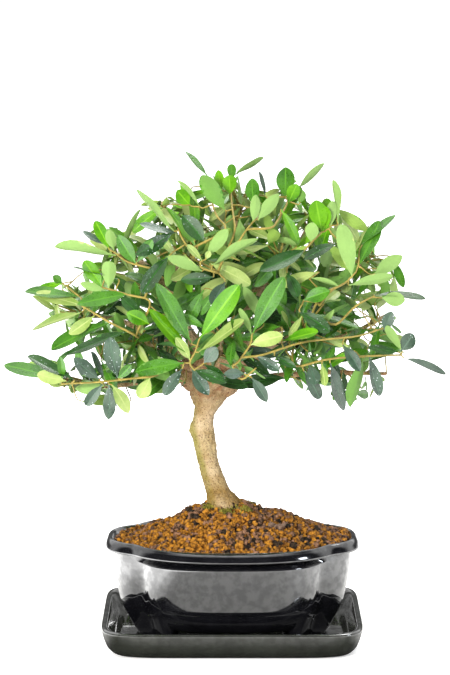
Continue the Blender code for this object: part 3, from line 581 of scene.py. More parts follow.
# %% [markdown]
# ## Quatrefoil pot
# Seen from above, the pot has two wide lobes, front and back, and a narrow one at each end. Each
# pair is one superellipse, and the larger of the two rules at every angle; a soft maximum rounds
# the notch between them. The front panels stand steeper than the ends and are flatter below the
# lip than in it, so that they mirror the table in front as an even grey.

# %% Pot body
# Half width, half depth and squareness of the outline of each pair of lobes
POT_END_LOBE = (0.104, 0.052, 3.0)
POT_FRONT_LOBE = (0.0905, 0.0735, 2.45)
POT_NOTCH_SOFTNESS = 70.0
POT_NOTCH_ANGLE = math.radians(28.2)
PANEL_INSETS = (0.0028, 0.0095)
PANEL_NARROWER = 0.0051
PANEL_SQUARER = 0.65
# In millimetres: height, inset at the ends and inset at the front
POT_WALL = in_metres(
    "14.5,36,34 18.5,25,21.8 29.6,15,15 33,13.4,13.1 56,9.2,10.6 69,8,9.6 70,8,10.4 "
    "73.8,8.4,16.2 74.6,8.4,16")
POT_LIP = in_metres(
    "75.6,2.6,2.6 76.7,0.3,0.3 81.2,1.9,1.9 83.6,3.8,3.8 84.5,5.8,5.8 84.2,7.4,7.4")
POT_INSIDE = in_metres("82.5,8.8,8.8 80,16,18 70,18.5,20 30,27,27 21,35,35")
POT_EDGE_RADIUS = 0.0020
POT_POINTS = 320


def pot_point(angle, height, end_inset, front_inset):
    """Point of the quatrefoil at a polar angle, moved inwards by the insets of its lobes."""
    width, depth, squareness = POT_END_LOBE
    end = superellipse_radius(angle, width - end_inset, depth - end_inset, squareness)
    width, depth, squareness = POT_FRONT_LOBE
    flat = smooth_step(*PANEL_INSETS, front_inset)
    front = superellipse_radius(angle, width - front_inset - PANEL_NARROWER * flat,
                                depth - front_inset, squareness + PANEL_SQUARER * flat)
    reach = (end ** POT_NOTCH_SOFTNESS + front ** POT_NOTCH_SOFTNESS) ** (1 / POT_NOTCH_SOFTNESS)
    return Vector((reach * math.cos(angle), reach * math.sin(angle), height))


pot_profile = rounded(POT_WALL + POT_LIP + POT_INSIDE, POT_EDGE_RADIUS)
pot_angles = [2.0 * math.pi * i / POT_POINTS for i in range(POT_POINTS)]
pot = loft("pot_body", [[pot_point(angle, *row) for angle in pot_angles] for row in pot_profile],
           pot_glaze)
print("pot body faces:", len(pot.data.polygons))

# %% [markdown]
# ## Cloud feet
# Under each notch sits a foot cut like a cloud: a tall hump, a small one beside it, and a hem that
# runs on round the pot from foot to foot. A hoop of cross sections makes all four feet and the hem
# at once: its top and its sole rise and fall with the distance from the nearest notch. Each
# section leans in all the way from its sharp crest to the sole, so the feet mirror the dark tray,
# and look deep black.

# %% Cloud feet
FOOT_HALF_SPREADS = (0.029, 0.020)
NOTCH_RADIUS = 0.082
FOOT_FADE = (1.15, 0.42)
SOLE_FADE = (0.98, 0.66)
FOOT_SOLE = 0.0048
FOOT_SHOULDER = 0.0390
# Each hump of the crest: rise, place and spread, in half spreads of a foot
FOOT_HUMPS = ((0.0040, -0.10, 0.16), (0.0019, 0.43, 0.11), (0.0006, -0.45, 0.16))
HEM_TOP = 0.0332
HEM_SOLE = 0.0150
FOOT_PROUD = 0.0028
HEM_SUNK = 0.0010
FOOT_POINTS = 480


def wall_insets(height):
    """Insets of the pot's wall at a height: at the ends and at the front."""
    heights = [row[0] for row in POT_WALL]
    return tuple(float(np.interp(height, heights, [row[k] for row in POT_WALL])) for k in (1, 2))


def notch_share(angle):
    """Signed distance from the nearest notch, in half spreads of a foot, positive to the front."""
    folded = math.atan2(abs(math.sin(angle)), abs(math.cos(angle)))
    away = (folded - POT_NOTCH_ANGLE) * NOTCH_RADIUS
    return away / FOOT_HALF_SPREADS[0 if away < 0.0 else 1]


def foot_section(angle):
    """Closed cross section of foot or hem: sole, bulging face, rounded crest and hidden back."""
    share = notch_share(angle)
    foot = smooth_step(*FOOT_FADE, abs(share))
    crest = HEM_TOP + (FOOT_SHOULDER - HEM_TOP) * foot
    crest += sum(rise * math.exp(-((share - at) / spread) ** 2) for rise, at, spread in FOOT_HUMPS)
    sole = HEM_SOLE + (FOOT_SOLE - HEM_SOLE) * smooth_step(*SOLE_FADE, abs(share))
    proud = (FOOT_PROUD + HEM_SUNK) * foot - HEM_SUNK
    end, front = wall_insets(crest)
    rise = crest - sole
    rows = ((sole, 0.0150), (sole, 0.0112), (sole + 0.0010, 0.0100), (sole + 0.25 * rise, 0.0066),
            (sole + 0.50 * rise, 0.0036), (sole + 0.75 * rise, 0.0012 - 0.5 * proud),
            (crest - 0.0009, 0.0001 - proud), (crest - 0.0005, -proud), (crest - 0.0001, -proud),
            (crest, 0.0002 - proud), (crest - 0.0012, 0.0004), (crest - 0.0060, 0.0100))
    return [pot_point(angle, height, end + inset, front + inset) for height, inset in rows]


foot_angles = [2.0 * math.pi * i / FOOT_POINTS for i in range(FOOT_POINTS)]
feet = loft("pot_feet", [foot_section(angle) for angle in foot_angles], shaded_feet_glaze, closed=True)
for piece in (pot, feet):
    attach(piece, "root")
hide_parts("pot")
print("feet faces:", len(feet.data.polygons))

# %% [markdown]
# ## Soil
# The pot is filled with fired clay granules of three to five millimetres, heaped into a mound
# round the trunk. A bump map would leave its edge and its outline smooth, so the granules are real
# meshes. First comes the mound they lie on, a dark skin with the packed soil's heights. It has
# sunk a few millimetres on the left and at the far right, where the photograph shows the rim
# behind it.

# %% Soil mound
# Inset of the mound's edge from the pot's outline
SOIL_EDGE = 0.0093
SOIL_FOOT = in_metres("60,26 77.5,21.5 80,17.5")
SOIL_CENTRE = Vector((-0.0040, 0.0, 0.0))
# Height of each ring, and its share of the way from the middle out to the edge
SOIL_RINGS = ((0.0812, 1.0), (0.0840, 0.92), (0.0868, 0.83), (0.0903, 0.73), (0.0936, 0.63),
              (0.0973, 0.52), (0.1006, 0.42), (0.1033, 0.33), (0.1060, 0.235), (0.1085, 0.15),
              (0.1094, 0.08))
SOIL_LUMP = 0.0044
LUMPS_PER_METRE = 56.0
# Depth of the sunken sides, and where along X it starts and is full
SUNK_LEFT = (0.0044, -0.014, -0.046)
SUNK_RIGHT = (0.0018, 0.040, 0.060)
SUNK_BELT = (0.28, 0.52, 0.85, 1.0)


def sunk(spot, scale):
    """How far the mound has sunk at a spot, between the trunk's foot and the pot's edge."""
    inner, full, ends, outer = SUNK_BELT
    belt = smooth_step(inner, full, scale) * smooth_step(outer, ends, scale)
    left, right = (depth * smooth_step(start, end, spot.x)
                   for depth, start, end in (SUNK_LEFT, SUNK_RIGHT))
    return belt * (left + right)


def soil_ring(height, scale):
    """Ring of the mound: the pot's inner outline drawn in towards the trunk, with lumps."""
    ring = []
    for angle in pot_angles[::2]:
        edge = pot_point(angle, 0.0, SOIL_EDGE, SOIL_EDGE)
        spot = SOIL_CENTRE.lerp(edge, scale)
        lump = SOIL_LUMP * noise.noise(Vector((spot.x, spot.y, 0.0)) * LUMPS_PER_METRE)
        lump = lump if 0.24 < scale < 1.0 else 0.0
        ring.append(Vector((spot.x, spot.y, height + lump - sunk(spot, scale))))
    return ring


# The mound's dark brown shows between the granules as painted shade.
gap_shade_earth, tree, shader = start_finish("earth in painted gap shade", Roughness=0.95)
grains = use_group(tree, mottle, Scale=420.0, Dark=paint(38, 22, 12), Light=paint(110, 66, 26),
                   Softness=0.12)
wire(tree, shader.inputs["Base Color"], grains["Colour"])
relief(tree, shader, grains["Mask"], depth=0.0012)
foot_rings = [[pot_point(angle, height, inset, inset) for angle in pot_angles[::2]]
              for height, inset in SOIL_FOOT]
mound = loft("soil_mound", foot_rings + [soil_ring(*row) for row in SOIL_RINGS], gap_shade_earth)
mound_tree = BVHTree.FromPolygons([vert.co.copy() for vert in mound.data.vertices],
                                  [tuple(face.vertices) for face in mound.data.polygons])
print("mound top at", round(max(vert.co.z for vert in mound.data.vertices) * 1000, 1), "mm")

# %% [markdown]
# A granule is a coarse ball pushed out of shape by noise: broken clay, not a bead. A few shapes
# are enough, because each copy is turned and scaled by seeded dice. They are dealt out on a
# jittered grid over the mound and pressed a little into it. Most are golden brown; some are a
# duller brown, more of them at the back, or nearly black, mainly in the damp patches that the
# photograph shows. Each colour is one joined piece.

# %% Granule values
GRANULE_SHAPES = 7
GRANULE_SPACING = 0.0033
GRANULE_ROWS = 0.866
GRANULE_JITTER = 0.0009
GRANULE_RADIUS = (0.0015, 0.0029)
GRANULE_CORNER = (-0.104, -0.075)
GRANULE_FIELD = (0.210, 0.150)
GRANULE_EDGE = 0.0108
GRANULE_LOWEST = 0.078
# In millimetres: place and reach of each damp patch
DAMP_PATCHES = in_metres(
    "-34,-12,12 12,-46,13 20,-28,12 -10,30,16 50,20,10 -4,-12,12 24,-4,13 -27,-4,10")
# Share of darker granules everywhere, more in the damp patches, and more towards the right
DARK_SHARES = (0.05, 0.46, 0.14)
PATCH_EDGE = (1.2, 0.2)
TO_RIGHT = (-0.04, 0.06)
BLACK_SHARE = 0.55
BROWN_SHARE = 0.22
FADED_BROWN = 0.24
TO_REAR = (-0.020, 0.020)
dice = random.Random(5)


# %% Granule shapes and clay
def drop_to_mound(x, y, start=0.2):
    """Spot and normal of the mound below a place; None where it is missed."""
    return mound_tree.ray_cast(Vector((x, y, start)), Vector((0.0, 0.0, -1.0)))[:2]


def granule_shapes(count, roughness):
    """Arrays of points of rough balls, and the faces they share."""
    ball = bpy.data.meshes.new("ball")
    bm = bmesh.new()
    bmesh.ops.create_icosphere(bm, subdivisions=2, radius=1.0)
    bm.to_mesh(ball)
    bm.free()
    points = np.array([tuple(vert.co) for vert in ball.vertices])
    faces = np.array([tuple(face.vertices) for face in ball.polygons])
    bpy.data.meshes.remove(ball)
    shapes = []
    for k in range(count):
        seed = Vector((k * 7.3, k * 3.1, 0.5))
        lift = [1.0 + roughness * (noise.noise(Vector(p) * 1.1 + seed)
                                   + 0.5 * noise.noise(Vector(p) * 2.6 + seed)) for p in points]
        shapes.append(points * np.array(lift)[:, None])
    return shapes, faces


def scatter(name, spots, shapes, faces, finish):
    """One joined piece of many copies; each spot is place, turn, size along three axes, shape."""
    clouds = []
    for place, turn, size, shape in spots:
        cloud = shapes[shape] * np.array(size)
        clouds.append(cloud @ np.array(turn).T + np.array(place))
    count = len(shapes[0])
    shifted = [faces + count * k for k in range(len(spots))]
    return filled_mesh(name, np.vstack(clouds), np.vstack(shifted), [finish])


def clay_finish(name, dark, light, roughness):
    """Dry clay: two tones in soft grains, dusty and matt."""
    material, tree, shader = start_finish(name)
    tones = use_group(tree, mottle, Scale=300.0, Dark=dark, Light=light, Softness=0.12)
    dust = use_group(tree, specks, Scale=1500.0, Size=0.30, Patchiness=0.5)
    wire(tree, shader.inputs["Base Color"],
         tint(tree, range_of(tree, dust["Mask"], 0.0, 0.25), tones["Colour"], paint(206, 164, 100)))
    wire(tree, shader.inputs["Roughness"], range_of(tree, tones["Mask"], roughness, 0.98))
    grit = use_group(tree, mottle, Scale=1400.0, Softness=0.3)
    relief(tree, shader, grit["Mask"], depth=0.0007, strength=0.9)
    return material


def soil_kind(x, y, roll):
    """Colour of the granule at a place, by its roll of the dice."""
    ground, patches, right = DARK_SHARES
    near = min(math.hypot(x - px, y - py) / reach for px, py, reach in DAMP_PATCHES)
    # Darker granules are more common in the damp patches and also towards the right.
    damp = ground + patches * smooth_step(*PATCH_EDGE, near) + right * smooth_step(*TO_RIGHT, x)
    if roll < BLACK_SHARE * damp:
        return "black"
    brown = BROWN_SHARE + damp + FADED_BROWN * smooth_step(*TO_REAR, y)
    return "brown" if roll < brown else "golden"


# %% Granules
granules, ball_faces = granule_shapes(GRANULE_SHAPES, 0.75)
spots = {"golden": [], "brown": [], "black": []}
for row in range(int(GRANULE_FIELD[1] / (GRANULE_SPACING * GRANULE_ROWS))):
    for column in range(int(GRANULE_FIELD[0] / GRANULE_SPACING)):
        x = GRANULE_CORNER[0] + (column + 0.5 * (row % 2)) * GRANULE_SPACING
        y = GRANULE_CORNER[1] + row * GRANULE_SPACING * GRANULE_ROWS
        x += dice.uniform(-1, 1) * GRANULE_JITTER
        y += dice.uniform(-1, 1) * GRANULE_JITTER
        hit, normal = drop_to_mound(x, y)
        edge = pot_point(math.atan2(y, x), 0.0, GRANULE_EDGE, GRANULE_EDGE).length
        if hit is None or math.hypot(x, y) > edge or hit.z < GRANULE_LOWEST:
            continue
        radius = dice.uniform(*GRANULE_RADIUS) * dice.choice((0.8, 1.0, 1.0, 1.15))
        size = [radius * dice.uniform(0.75, 1.15) for _ in range(3)]
        angle = dice.uniform(0, 6.28)
        spin = Vector([dice.uniform(-1, 1) for _ in range(3)]).normalized()
        place = hit + normal * dice.uniform(-0.0003, 0.0009) + Vector((0, 0, 0.0002))
        kind = soil_kind(x, y, dice.random())
        spots[kind].append((place, Matrix.Rotation(angle, 3, spin), size,
                            dice.randrange(GRANULE_SHAPES)))
clays = {
    "golden": clay_finish("golden clay", paint(80, 44, 6), paint(194, 132, 44), 0.86),
    "brown": clay_finish("brown clay", paint(46, 31, 23), paint(160, 118, 90), 0.88),
    "black": clay_finish("dark clay", paint(14, 11, 9), paint(54, 42, 32), 0.90),
}
soil_pieces = [mound]
for kind, places in spots.items():
    soil_pieces.append(scatter("soil_" + kind, places, granules, ball_faces, clays[kind]))
    print(kind, "granules:", len(places))

# %% [markdown]
# Small things lie on the granules: a grey chip of bark with a crumb beside it, in front of the
# trunk, and tufts of moss where the trunk meets the soil. Chip and crumb are drawn out granule
# shapes. The moss is crowds of very small grains, as close as moss leaves are.

# %% Bark chip and moss
CHIP_PLACE = Vector((0.0365, -0.0300, 0.0985))
CHIP_SIZE = (0.0028, 0.0026, 0.0092)
CRUMB_SIZE = (0.003, 0.003, 0.005)
MOSS_GRAINS = 620
MOSS_RADIUS = (0.0004, 0.0009)
# In millimetres: place and reach of each tuft
MOSS_TUFTS = in_metres("-4,-16.5,6 10,-12.5,5 -19,-8,4 13,9,5 -12,14,6")
chip_finish = clay_finish("grey bark chip", paint(84, 64, 54), paint(146, 122, 104), 0.8)
lean = Matrix.Rotation(math.radians(52), 3, "Y") @ Matrix.Rotation(math.radians(25), 3, "X")
hit, _ = drop_to_mound(CHIP_PLACE.x, CHIP_PLACE.y, CHIP_PLACE.z + 0.05)
chips = [(hit + Vector((0, 0, 0.0032)), lean, CHIP_SIZE, 2),
         (hit + Vector((-0.006, 0.003, 0.0030)), lean, CRUMB_SIZE, 4)]
chip = scatter("soil_chip", chips, granules, ball_faces, chip_finish)
moss_finish = clay_finish("moss", paint(84, 84, 26), paint(150, 138, 56), 0.9)
tufts = []
for _ in range(MOSS_GRAINS):
    cx, cy, reach = dice.choice(MOSS_TUFTS)
    x = cx + dice.gauss(0.0, reach * 0.5)
    y = cy + dice.gauss(0.0, reach * 0.5)
    hit, normal = drop_to_mound(x, y)
    size = dice.uniform(*MOSS_RADIUS)
    turn = Matrix.Rotation(dice.uniform(0, 6.28), 3, "Z")
    tufts.append((hit + normal * dice.uniform(0.0008, 0.0026), turn, (size, size, size * 1.6),
                  dice.randrange(GRANULE_SHAPES)))
moss = scatter("soil_moss", tufts, granules, ball_faces, moss_finish)
soil_pieces += [chip, moss]
for piece in soil_pieces:
    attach(piece, "root")
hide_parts("soil")
print("soil faces:", sum(len(piece.data.polygons) for piece in soil_pieces))

# %% [markdown]
# ## Trunk
# The trunk rises from the soil with a flare, leans, bends back and swells into a knobbly head,
# where the old trunk was cut and every limb has sprouted since. Modelling tools could sculpt it,
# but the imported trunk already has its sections, so they are blended into many rings and the bark
# is pushed in and out by noise: long plates that run with the trunk, and fine grit across them,
# deepest on the head. Pruning knobs are bumps with a dip in the middle, each at its own height and
# turn.

# %% Trunk sections
# In millimetres: height, place along X and Y, and radius along X and Y of each section
TRUNK_SECTIONS = in_metres(
    "100,-3,0,21.5,20 107.3,-4,0,16.8,15.8 112.5,-7.4,0,12.8,12.4 120.5,-11.2,0.3,9.8,9.8 "
    "129,-14.4,0.6,8.8,8.9 145.5,-19.6,1,8.4,8.5 161.5,-22.6,1.2,8.9,8.7 170,-23.8,1.2,9.2,8.8 "
    "182,-22.2,1,8.7,9 193,-18.2,0.6,11.5,10.8 201,-16,0.3,17.2,15 210,-16.2,0,25,20.2 "
    "221,-16,0,25.8,22 232,-13,0,20,18.5 240,-11,0,11.5,11 242.5,-10,0,3,3")
TRUNK_SIDES = 128
TRUNK_RINGS = 14
# Height, turn in degrees from the right towards the back, reach and rise of each pruning knob
TRUNK_KNOBS = ((0.2020, 250, 0.0075, 0.0030), (0.2140, 285, 0.0070, 0.0032),
               (0.2100, 215, 0.0065, 0.0026), (0.2240, 240, 0.0060, 0.0026),
               (0.2230, 320, 0.0062, 0.0026), (0.2040, 330, 0.0060, 0.0028),
               (0.1960, 195, 0.0050, 0.0022), (0.1720, 185, 0.0045, 0.0014),
               (0.1560, 350, 0.0045, 0.0012), (0.1360, 200, 0.0040, 0.0010),
               (0.2160, 60, 0.0075, 0.0030), (0.2080, 120, 0.0070, 0.0028),
               (0.2200, 170, 0.0070, 0.0028), (0.2060, 20, 0.0065, 0.0026),
               (0.1150, 255, 0.0050, 0.0018), (0.1130, 20, 0.0060, 0.0022))
# Depth of the bark's relief in metres
TRUNK_BARK = 0.0006
BOUGH_BARK = 0.00028


# %% Blends and bark
def catmull(before, start, end, after, share):
    """Catmull-Rom blend between two of four values."""
    square = share * share
    cube = square * share
    return 0.5 * (2.0 * start + (end - before) * share
                  + (2.0 * before - 5.0 * start + 4.0 * end - after) * square
                  + (3.0 * start - before - 3.0 * end + after) * cube)


def smooth_row(rows, steps):
    """Rows of numbers blended smoothly, with this many steps from each to the next."""
    rows = [Vector(row) for row in rows]
    padded = [2.0 * rows[0] - rows[1]] + rows + [2.0 * rows[-1] - rows[-2]]
    result = []
    for i in range(len(rows) - 1):
        for step in range(steps):
            result.append(catmull(*padded[i:i + 4], step / steps))
    result.append(rows[-1])
    return result


def bark_lift(point, depth):
    """Height of the bark at a point: long plates along the limb, knuckles and fine grit."""
    long_way = Vector((point.x * 330.0, point.y * 330.0, point.z * 70.0))
    plates = abs(noise.noise(long_way)) * -1.6 + 0.35
    knuckles = noise.noise(point * 120.0)
    pits = -abs(noise.noise(point * 230.0)) * 1.8 + 0.4
    grit = noise.noise(point * 900.0)
    return depth * (0.7 * plates + 0.6 * knuckles + 0.7 * pits + 0.3 * grit)


def knob_lift(out, size, level, height, turn, reach, rise):
    """How far a pruning knob lifts a point of the trunk: a bump with a dip in its middle."""
    turn = math.radians(turn)
    knob = Vector((math.cos(turn) * size.x, math.sin(turn) * size.y, height - level))
    share = (out - knob).length / reach
    if abs(knob.z) >= 2 * reach or share >= 2.2:
        return 0.0
    return rise * math.exp(-share ** 4) - 0.35 * rise * math.exp(-((share - 0.2) / 0.3) ** 2)


# %% Trunk rings
centres = smooth_row([(x, y, z) for z, x, y, _, _ in TRUNK_SECTIONS], TRUNK_RINGS)
sizes = smooth_row([(wide, deep, 0.0) for _, _, _, wide, deep in TRUNK_SECTIONS], TRUNK_RINGS)
trunk_rings = []
for centre, size in zip(centres, sizes):
    ring = []
    for i in range(TRUNK_SIDES):
        angle = 2.0 * math.pi * i / TRUNK_SIDES
        out = Vector((size.x * math.cos(angle), size.y * math.sin(angle), 0.0))
        way = out.normalized()
        spot = centre + out
        pitted = 1.0 + 2.2 * smooth_step(0.190, 0.204, spot.z)
        pitted += 1.2 * smooth_step(0.126, 0.112, spot.z)
        lift = 0.085 * out.length * noise.noise(spot * 75.0) + bark_lift(spot, TRUNK_BARK * pitted)
        for knob in TRUNK_KNOBS:
            lift += knob_lift(out, size, centre.z, *knob)
        ring.append(spot + way * lift)
    trunk_rings.append(ring)
print("trunk:", len(trunk_rings), "rings of", TRUNK_SIDES, "points")

# %% [markdown]
# ## Bark colour
# Olive bark is pale tan with darker veins and small pores, but one colour all over would look like
# plaster. The place changes it: brown where the foot stays damp, green on the left flank, rusty on
# the head. Each change is a ramp over height, or over the distance from the trunk's leaning line,
# broken up by clouds.

# %% Bark finish
# Heights between which each change of colour fades in or out
HEAD_FOOT = (0.188, 0.204)
HEAD_TOP = (0.245, 0.225)
GREEN_TOP = (0.200, 0.186)
DAMP_FOOT = (0.150, 0.114)
# The leaning line: two heights and its place along X there, and where its left flank turns green
LEAN_LINE = (0.1125, 0.170, -0.0074, -0.0238)
GREEN_FLANK = (-0.0030, -0.0080)
bark, tree, shader = start_finish("olive bark", Specular_IOR_Level=0.3)
tones = use_group(tree, mottle, Scale=85.0, Dark=paint(178, 145, 102), Light=paint(232, 207, 170),
                  Softness=0.22)
veins = use_group(tree, mottle, Scale=520.0, Softness=0.20)
veined = tint(tree, range_of(tree, veins["Mask"], 0.30, 0.0), tones["Colour"], paint(118, 88, 56))
olive_patches = use_group(tree, mottle, Scale=38.0, Softness=0.10)
mossy = tint(tree, range_of(tree, olive_patches["Mask"], 0.0, 0.32), veined, paint(160, 146, 84))
parts = parts_of(tree, "Object")
rust = use_group(tree, mottle, Scale=150.0, Softness=0.12)
on_head = times(tree, ramp(tree, parts["Z"], *HEAD_FOOT), ramp(tree, parts["Z"], *HEAD_TOP))
rusty = tint(tree, times(tree, on_head, range_of(tree, rust["Mask"], 0.85, 0.10)), mossy,
             paint(150, 100, 62))
green = use_group(tree, mottle, Scale=60.0, Softness=0.14)
ends = dict(zip(("From Min", "From Max", "To Min", "To Max"), LEAN_LINE))
lean_line = add_node(tree, "ShaderNodeMapRange", {"Value": parts["Z"], **ends}).outputs["Result"]
flank = combine(tree, "SUBTRACT", parts["X"], lean_line)
on_left = times(tree, ramp(tree, flank, *GREEN_FLANK), ramp(tree, parts["Z"], *GREEN_TOP))
greened = tint(tree, times(tree, on_left, range_of(tree, green["Mask"], 0.95, 0.45)), rusty,
               paint(138, 134, 56))
low = times(tree, ramp(tree, parts["Z"], *DAMP_FOOT), range_of(tree, green["Mask"], 1.0, 0.35))
lowered = tint(tree, low, greened, paint(138, 106, 46))
pores = use_group(tree, specks, Scale=620.0, Size=0.34, Patchiness=0.40)
pored = tint(tree, range_of(tree, pores["Mask"], 0.0, 0.70), lowered, paint(92, 62, 38))
wire(tree, shader.inputs["Base Color"], pored)
wire(tree, shader.inputs["Roughness"], range_of(tree, tones["Mask"], 0.86, 0.70))
relief(tree, shader, veins["Mask"], depth=0.0014)
trunk = loft("trunk_bark", trunk_rings, bark)
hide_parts("trunk")
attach(trunk, "root")
print("trunk faces:", len(trunk.data.polygons))

# %% [markdown]
# ## Boughs
# Each limb is a tapering tube along the imported bough's own path, wide where it leaves the head and
# with the same barky skin as the trunk. A curve with a bevel would be smooth as a pipe, so the
# rings are laid one by one along the path and every point is pushed by the bark's noise.

# %% Bough paths
# In millimetres: radii at foot and tip, then the points of the path
BOUGHS = {
    "low_left": "4,2.4 -26,-2,214 -54,-3,213.5 -90,-7,208",
    "left": "3.8,2.1 -26,4,225 -52,4,241 -80,1,255",
    "high_left": "4,2.1 -20,0,230 -40,-2,260 -49,-1,283 -62,1,298",
    "top_left": "2.3,1.8 -48.5,-1,281.5 -43,-3,300 -45,-4,317",
    "top": "4.4,2.2 -12,2,232 -10,3,274 0,2,312",
    "top_right": "4,2 -1,6,230 14,7,270 30,6,296 46,6,311",
    "high_right": "3.8,2.1 0,0,228 32,-4,260 58,-5,273 80,-3,284",
    "right": "3.6,2 -2,-4,220 29,-6,232 52,-7,240 82,-4,245",
    "low_right": "3.6,2.6 -2,0,208 29,-3,213.5 56,-6,217",
    "front_left": "3.4,2 -24,-8,220 -40,-28,228 -52,-44,238",
    "front": "3.4,2 -14,-10,219 -12,-34,225 -10,-56,238",
    "front_right": "3.4,2 -2,-8,222 16,-28,234 32,-48,246",
    "front_top_left": "3.4,1.9 -18,-6,230 -22,-20,262 -28,-34,294",
    "front_top_right": "3.4,1.9 -6,-6,229 12,-18,264 26,-32,294",
    "back_left": "3.4,2 -24,10,226 -34,34,240 -42,54,250",
    "back": "3.4,2 -10,12,224 -2,38,242 8,62,257",
    "back_right": "3.4,2 -2,8,222 26,30,239 50,48,251",
    "back_top": "3.4,1.9 -12,10,230 -8,30,266 -2,42,298",
    "back_low": "3.4,2 -16,10,212 -18,36,215 -16,62,217",
}
BOUGH_SIDES = 18
BOUGH_STEP = 0.0020
BOUGH_TAPER = 0.8
BOUGH_COLLAR = 0.55


def bough_path(name, spacing):
    """Smooth points and radii of a bough."""
    (start_radius, end_radius), *points = in_metres(BOUGHS[name])
    length = sum((Vector(b) - Vector(a)).length for a, b in zip(points, points[1:]))
    path = smooth_row(points, max(2, round(length / spacing / (len(points) - 1))))
    last = len(path) - 1
    radii = [start_radius + (end_radius - start_radius) * (i / last) ** BOUGH_TAPER
             for i in range(len(path))]
    return path, radii


# %% Tubes
def tube_rings(path, radii, sides):
    """Rings of points round a path, turned as little as possible from one to the next."""
    rings = []
    side = None
    for i, (point, radius) in enumerate(zip(path, radii)):
        way = (path[min(i + 1, len(path) - 1)] - path[max(i - 1, 0)]).normalized()
        side = way.orthogonal() if side is None else side - way * side.dot(way)
        side = side.normalized()
        up = way.cross(side)
        rings.append([point + (side * math.cos(2 * math.pi * k / sides)
                               + up * math.sin(2 * math.pi * k / sides)) * radius
                      for k in range(sides)])
    return rings


def tube_arrays(tubes, sides):
    """Points and quads of many tubes with rounded tips, for one joined mesh."""
    points, faces = [], []
    for path, radii in tubes:
        rings = tube_rings(path, radii, sides)
        start = len(points)
        for ring in rings:
            points += [tuple(point) for point in ring]
        for row in range(len(rings) - 1):
            low = start + row * sides
            for k in range(sides):
                j = (k + 1) % sides
                faces.append((low + k, low + j, low + sides + j, low + sides + k))
        end = start + (len(rings) - 1) * sides
        points += [tuple(path[0]), tuple(path[-1] + (path[-1] - path[-2]).normalized() * radii[-1])]
        foot, tip = len(points) - 2, len(points) - 1
        for k in range(0, sides, 2):
            one, two = (k + 1) % sides, (k + 2) % sides
            faces.append((start + k, foot, start + two, start + one))
            faces.append((end + k, end + one, end + two, tip))
    return points, faces


# %% Bough skins
def limb_skin(path, radii, sides):
    """Tube of a limb whose rings are roughened by bark, with a collar at its foot."""
    rings = tube_rings(path, radii, sides)
    total = len(rings) - 1
    for i, (centre, ring) in enumerate(zip(path, rings)):
        collar = 1.0 + BOUGH_COLLAR * max(0.0, 1.0 - 5.0 * i / total) ** 2
        knots = noise.noise(Vector((i * 0.35, centre.x * 40.0, centre.z * 40.0)))
        swell = 1.0 + 0.10 * max(0.0, knots)
        for k, point in enumerate(ring):
            out = (point - centre) * collar * swell
            ring[k] = centre + out + out.normalized() * bark_lift(centre + out, BOUGH_BARK)
    return rings


bough_points, bough_faces = [], []
for name in BOUGHS:
    path, radii = bough_path(name, BOUGH_STEP)
    start = len(bough_points)
    points, faces = tube_arrays([(path, radii)], BOUGH_SIDES)
    skin = [tuple(point) for ring in limb_skin(path, radii, BOUGH_SIDES) for point in ring]
    bough_points += skin + points[len(skin):]
    bough_faces += [tuple(start + index for index in face) for face in faces]
boughs = filled_mesh("boughs", bough_points, bough_faces, [bark])
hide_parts(*["bough_" + name for name in BOUGHS])
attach(boughs, "root")
print(len(BOUGHS), "boughs,", len(bough_faces), "faces")

# %% [markdown]
# ## Where the leaves may grow
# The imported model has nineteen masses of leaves, each in a space of its own: an ellipsoid, parted
# from its neighbours by planes, all under one crown dome. The same spaces rule here, so that the
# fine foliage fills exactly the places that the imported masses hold.

# %% Masses
# In millimetres: middle, radii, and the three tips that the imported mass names
MASSES = {
    "low_left": "-128,-10,212 62,48,40 -182,-12,222 -98,-22,179 -160,18,196",
    "left": "-120,-2,265 62,46,38 -162,5,250 -166,-10,281 -120,-38,262",
    "high_left": "-96,4,312 54,44,38 -141,0,317 -109,10,339 -95,-34,314",
    "top_left": "-54,-4,350 44,44,50 -77,0,366 -38,4,395 -58,-38,358",
    "top": "6,2,350 42,44,46 25,8,389 -12,0,385 10,-36,358",
    "top_right": "64,6,342 44,44,48 74,2,385 84,15,373 58,-30,352",
    "high_right": "106,2,306 50,44,46 130,4,345 140,-4,312 100,-36,318",
    "right": "122,4,262 50,46,36 156,0,277 146,-10,248 118,-36,266",
    "low_right": "116,-6,217 62,44,42 173,0,217 84,-18,184 112,-34,198",
    "front_left": "-68,-62,252 48,44,46 -84,-92,292 -100,-84,240 -66,-84,212",
    "front": "-8,-84,258 46,40,48 -20,-112,286 14,-110,262 -24,-86,208",
    "front_right": "54,-70,262 48,44,46 52,-104,292 90,-78,250 42,-80,214",
    "front_top_left": "-32,-52,314 44,42,42 -44,-84,330 -60,-60,342 -26,-80,348",
    "front_top_right": "36,-50,314 44,42,42 42,-84,328 64,-62,336 26,-70,352",
    "back_left": "-50,76,264 50,46,48 -80,102,272 -40,118,258 -62,90,306",
    "back": "14,90,270 46,40,46 20,122,270 -10,108,300 38,104,302",
    "back_right": "76,66,262 48,44,46 110,80,270 74,108,256 92,74,300",
    "back_top": "0,58,322 46,42,42 -30,78,344 26,80,348 2,96,326",
    "back_low": "-22,86,216 50,38,32 -48,106,212 16,104,218 -20,108,192",
}
SPACE_MARGIN = 0.0003
SPACE_GROWTH = 1.4
CROWN_MIDDLE = Vector((-0.005, 0.0, 0.226))
CROWN_HALF_WIDTH = 0.180
CROWN_HALF_DEPTH = 0.125
CROWN_RISE = 0.174
CROWN_DROP = 0.052
CROWN_SQUARENESS = 2.4


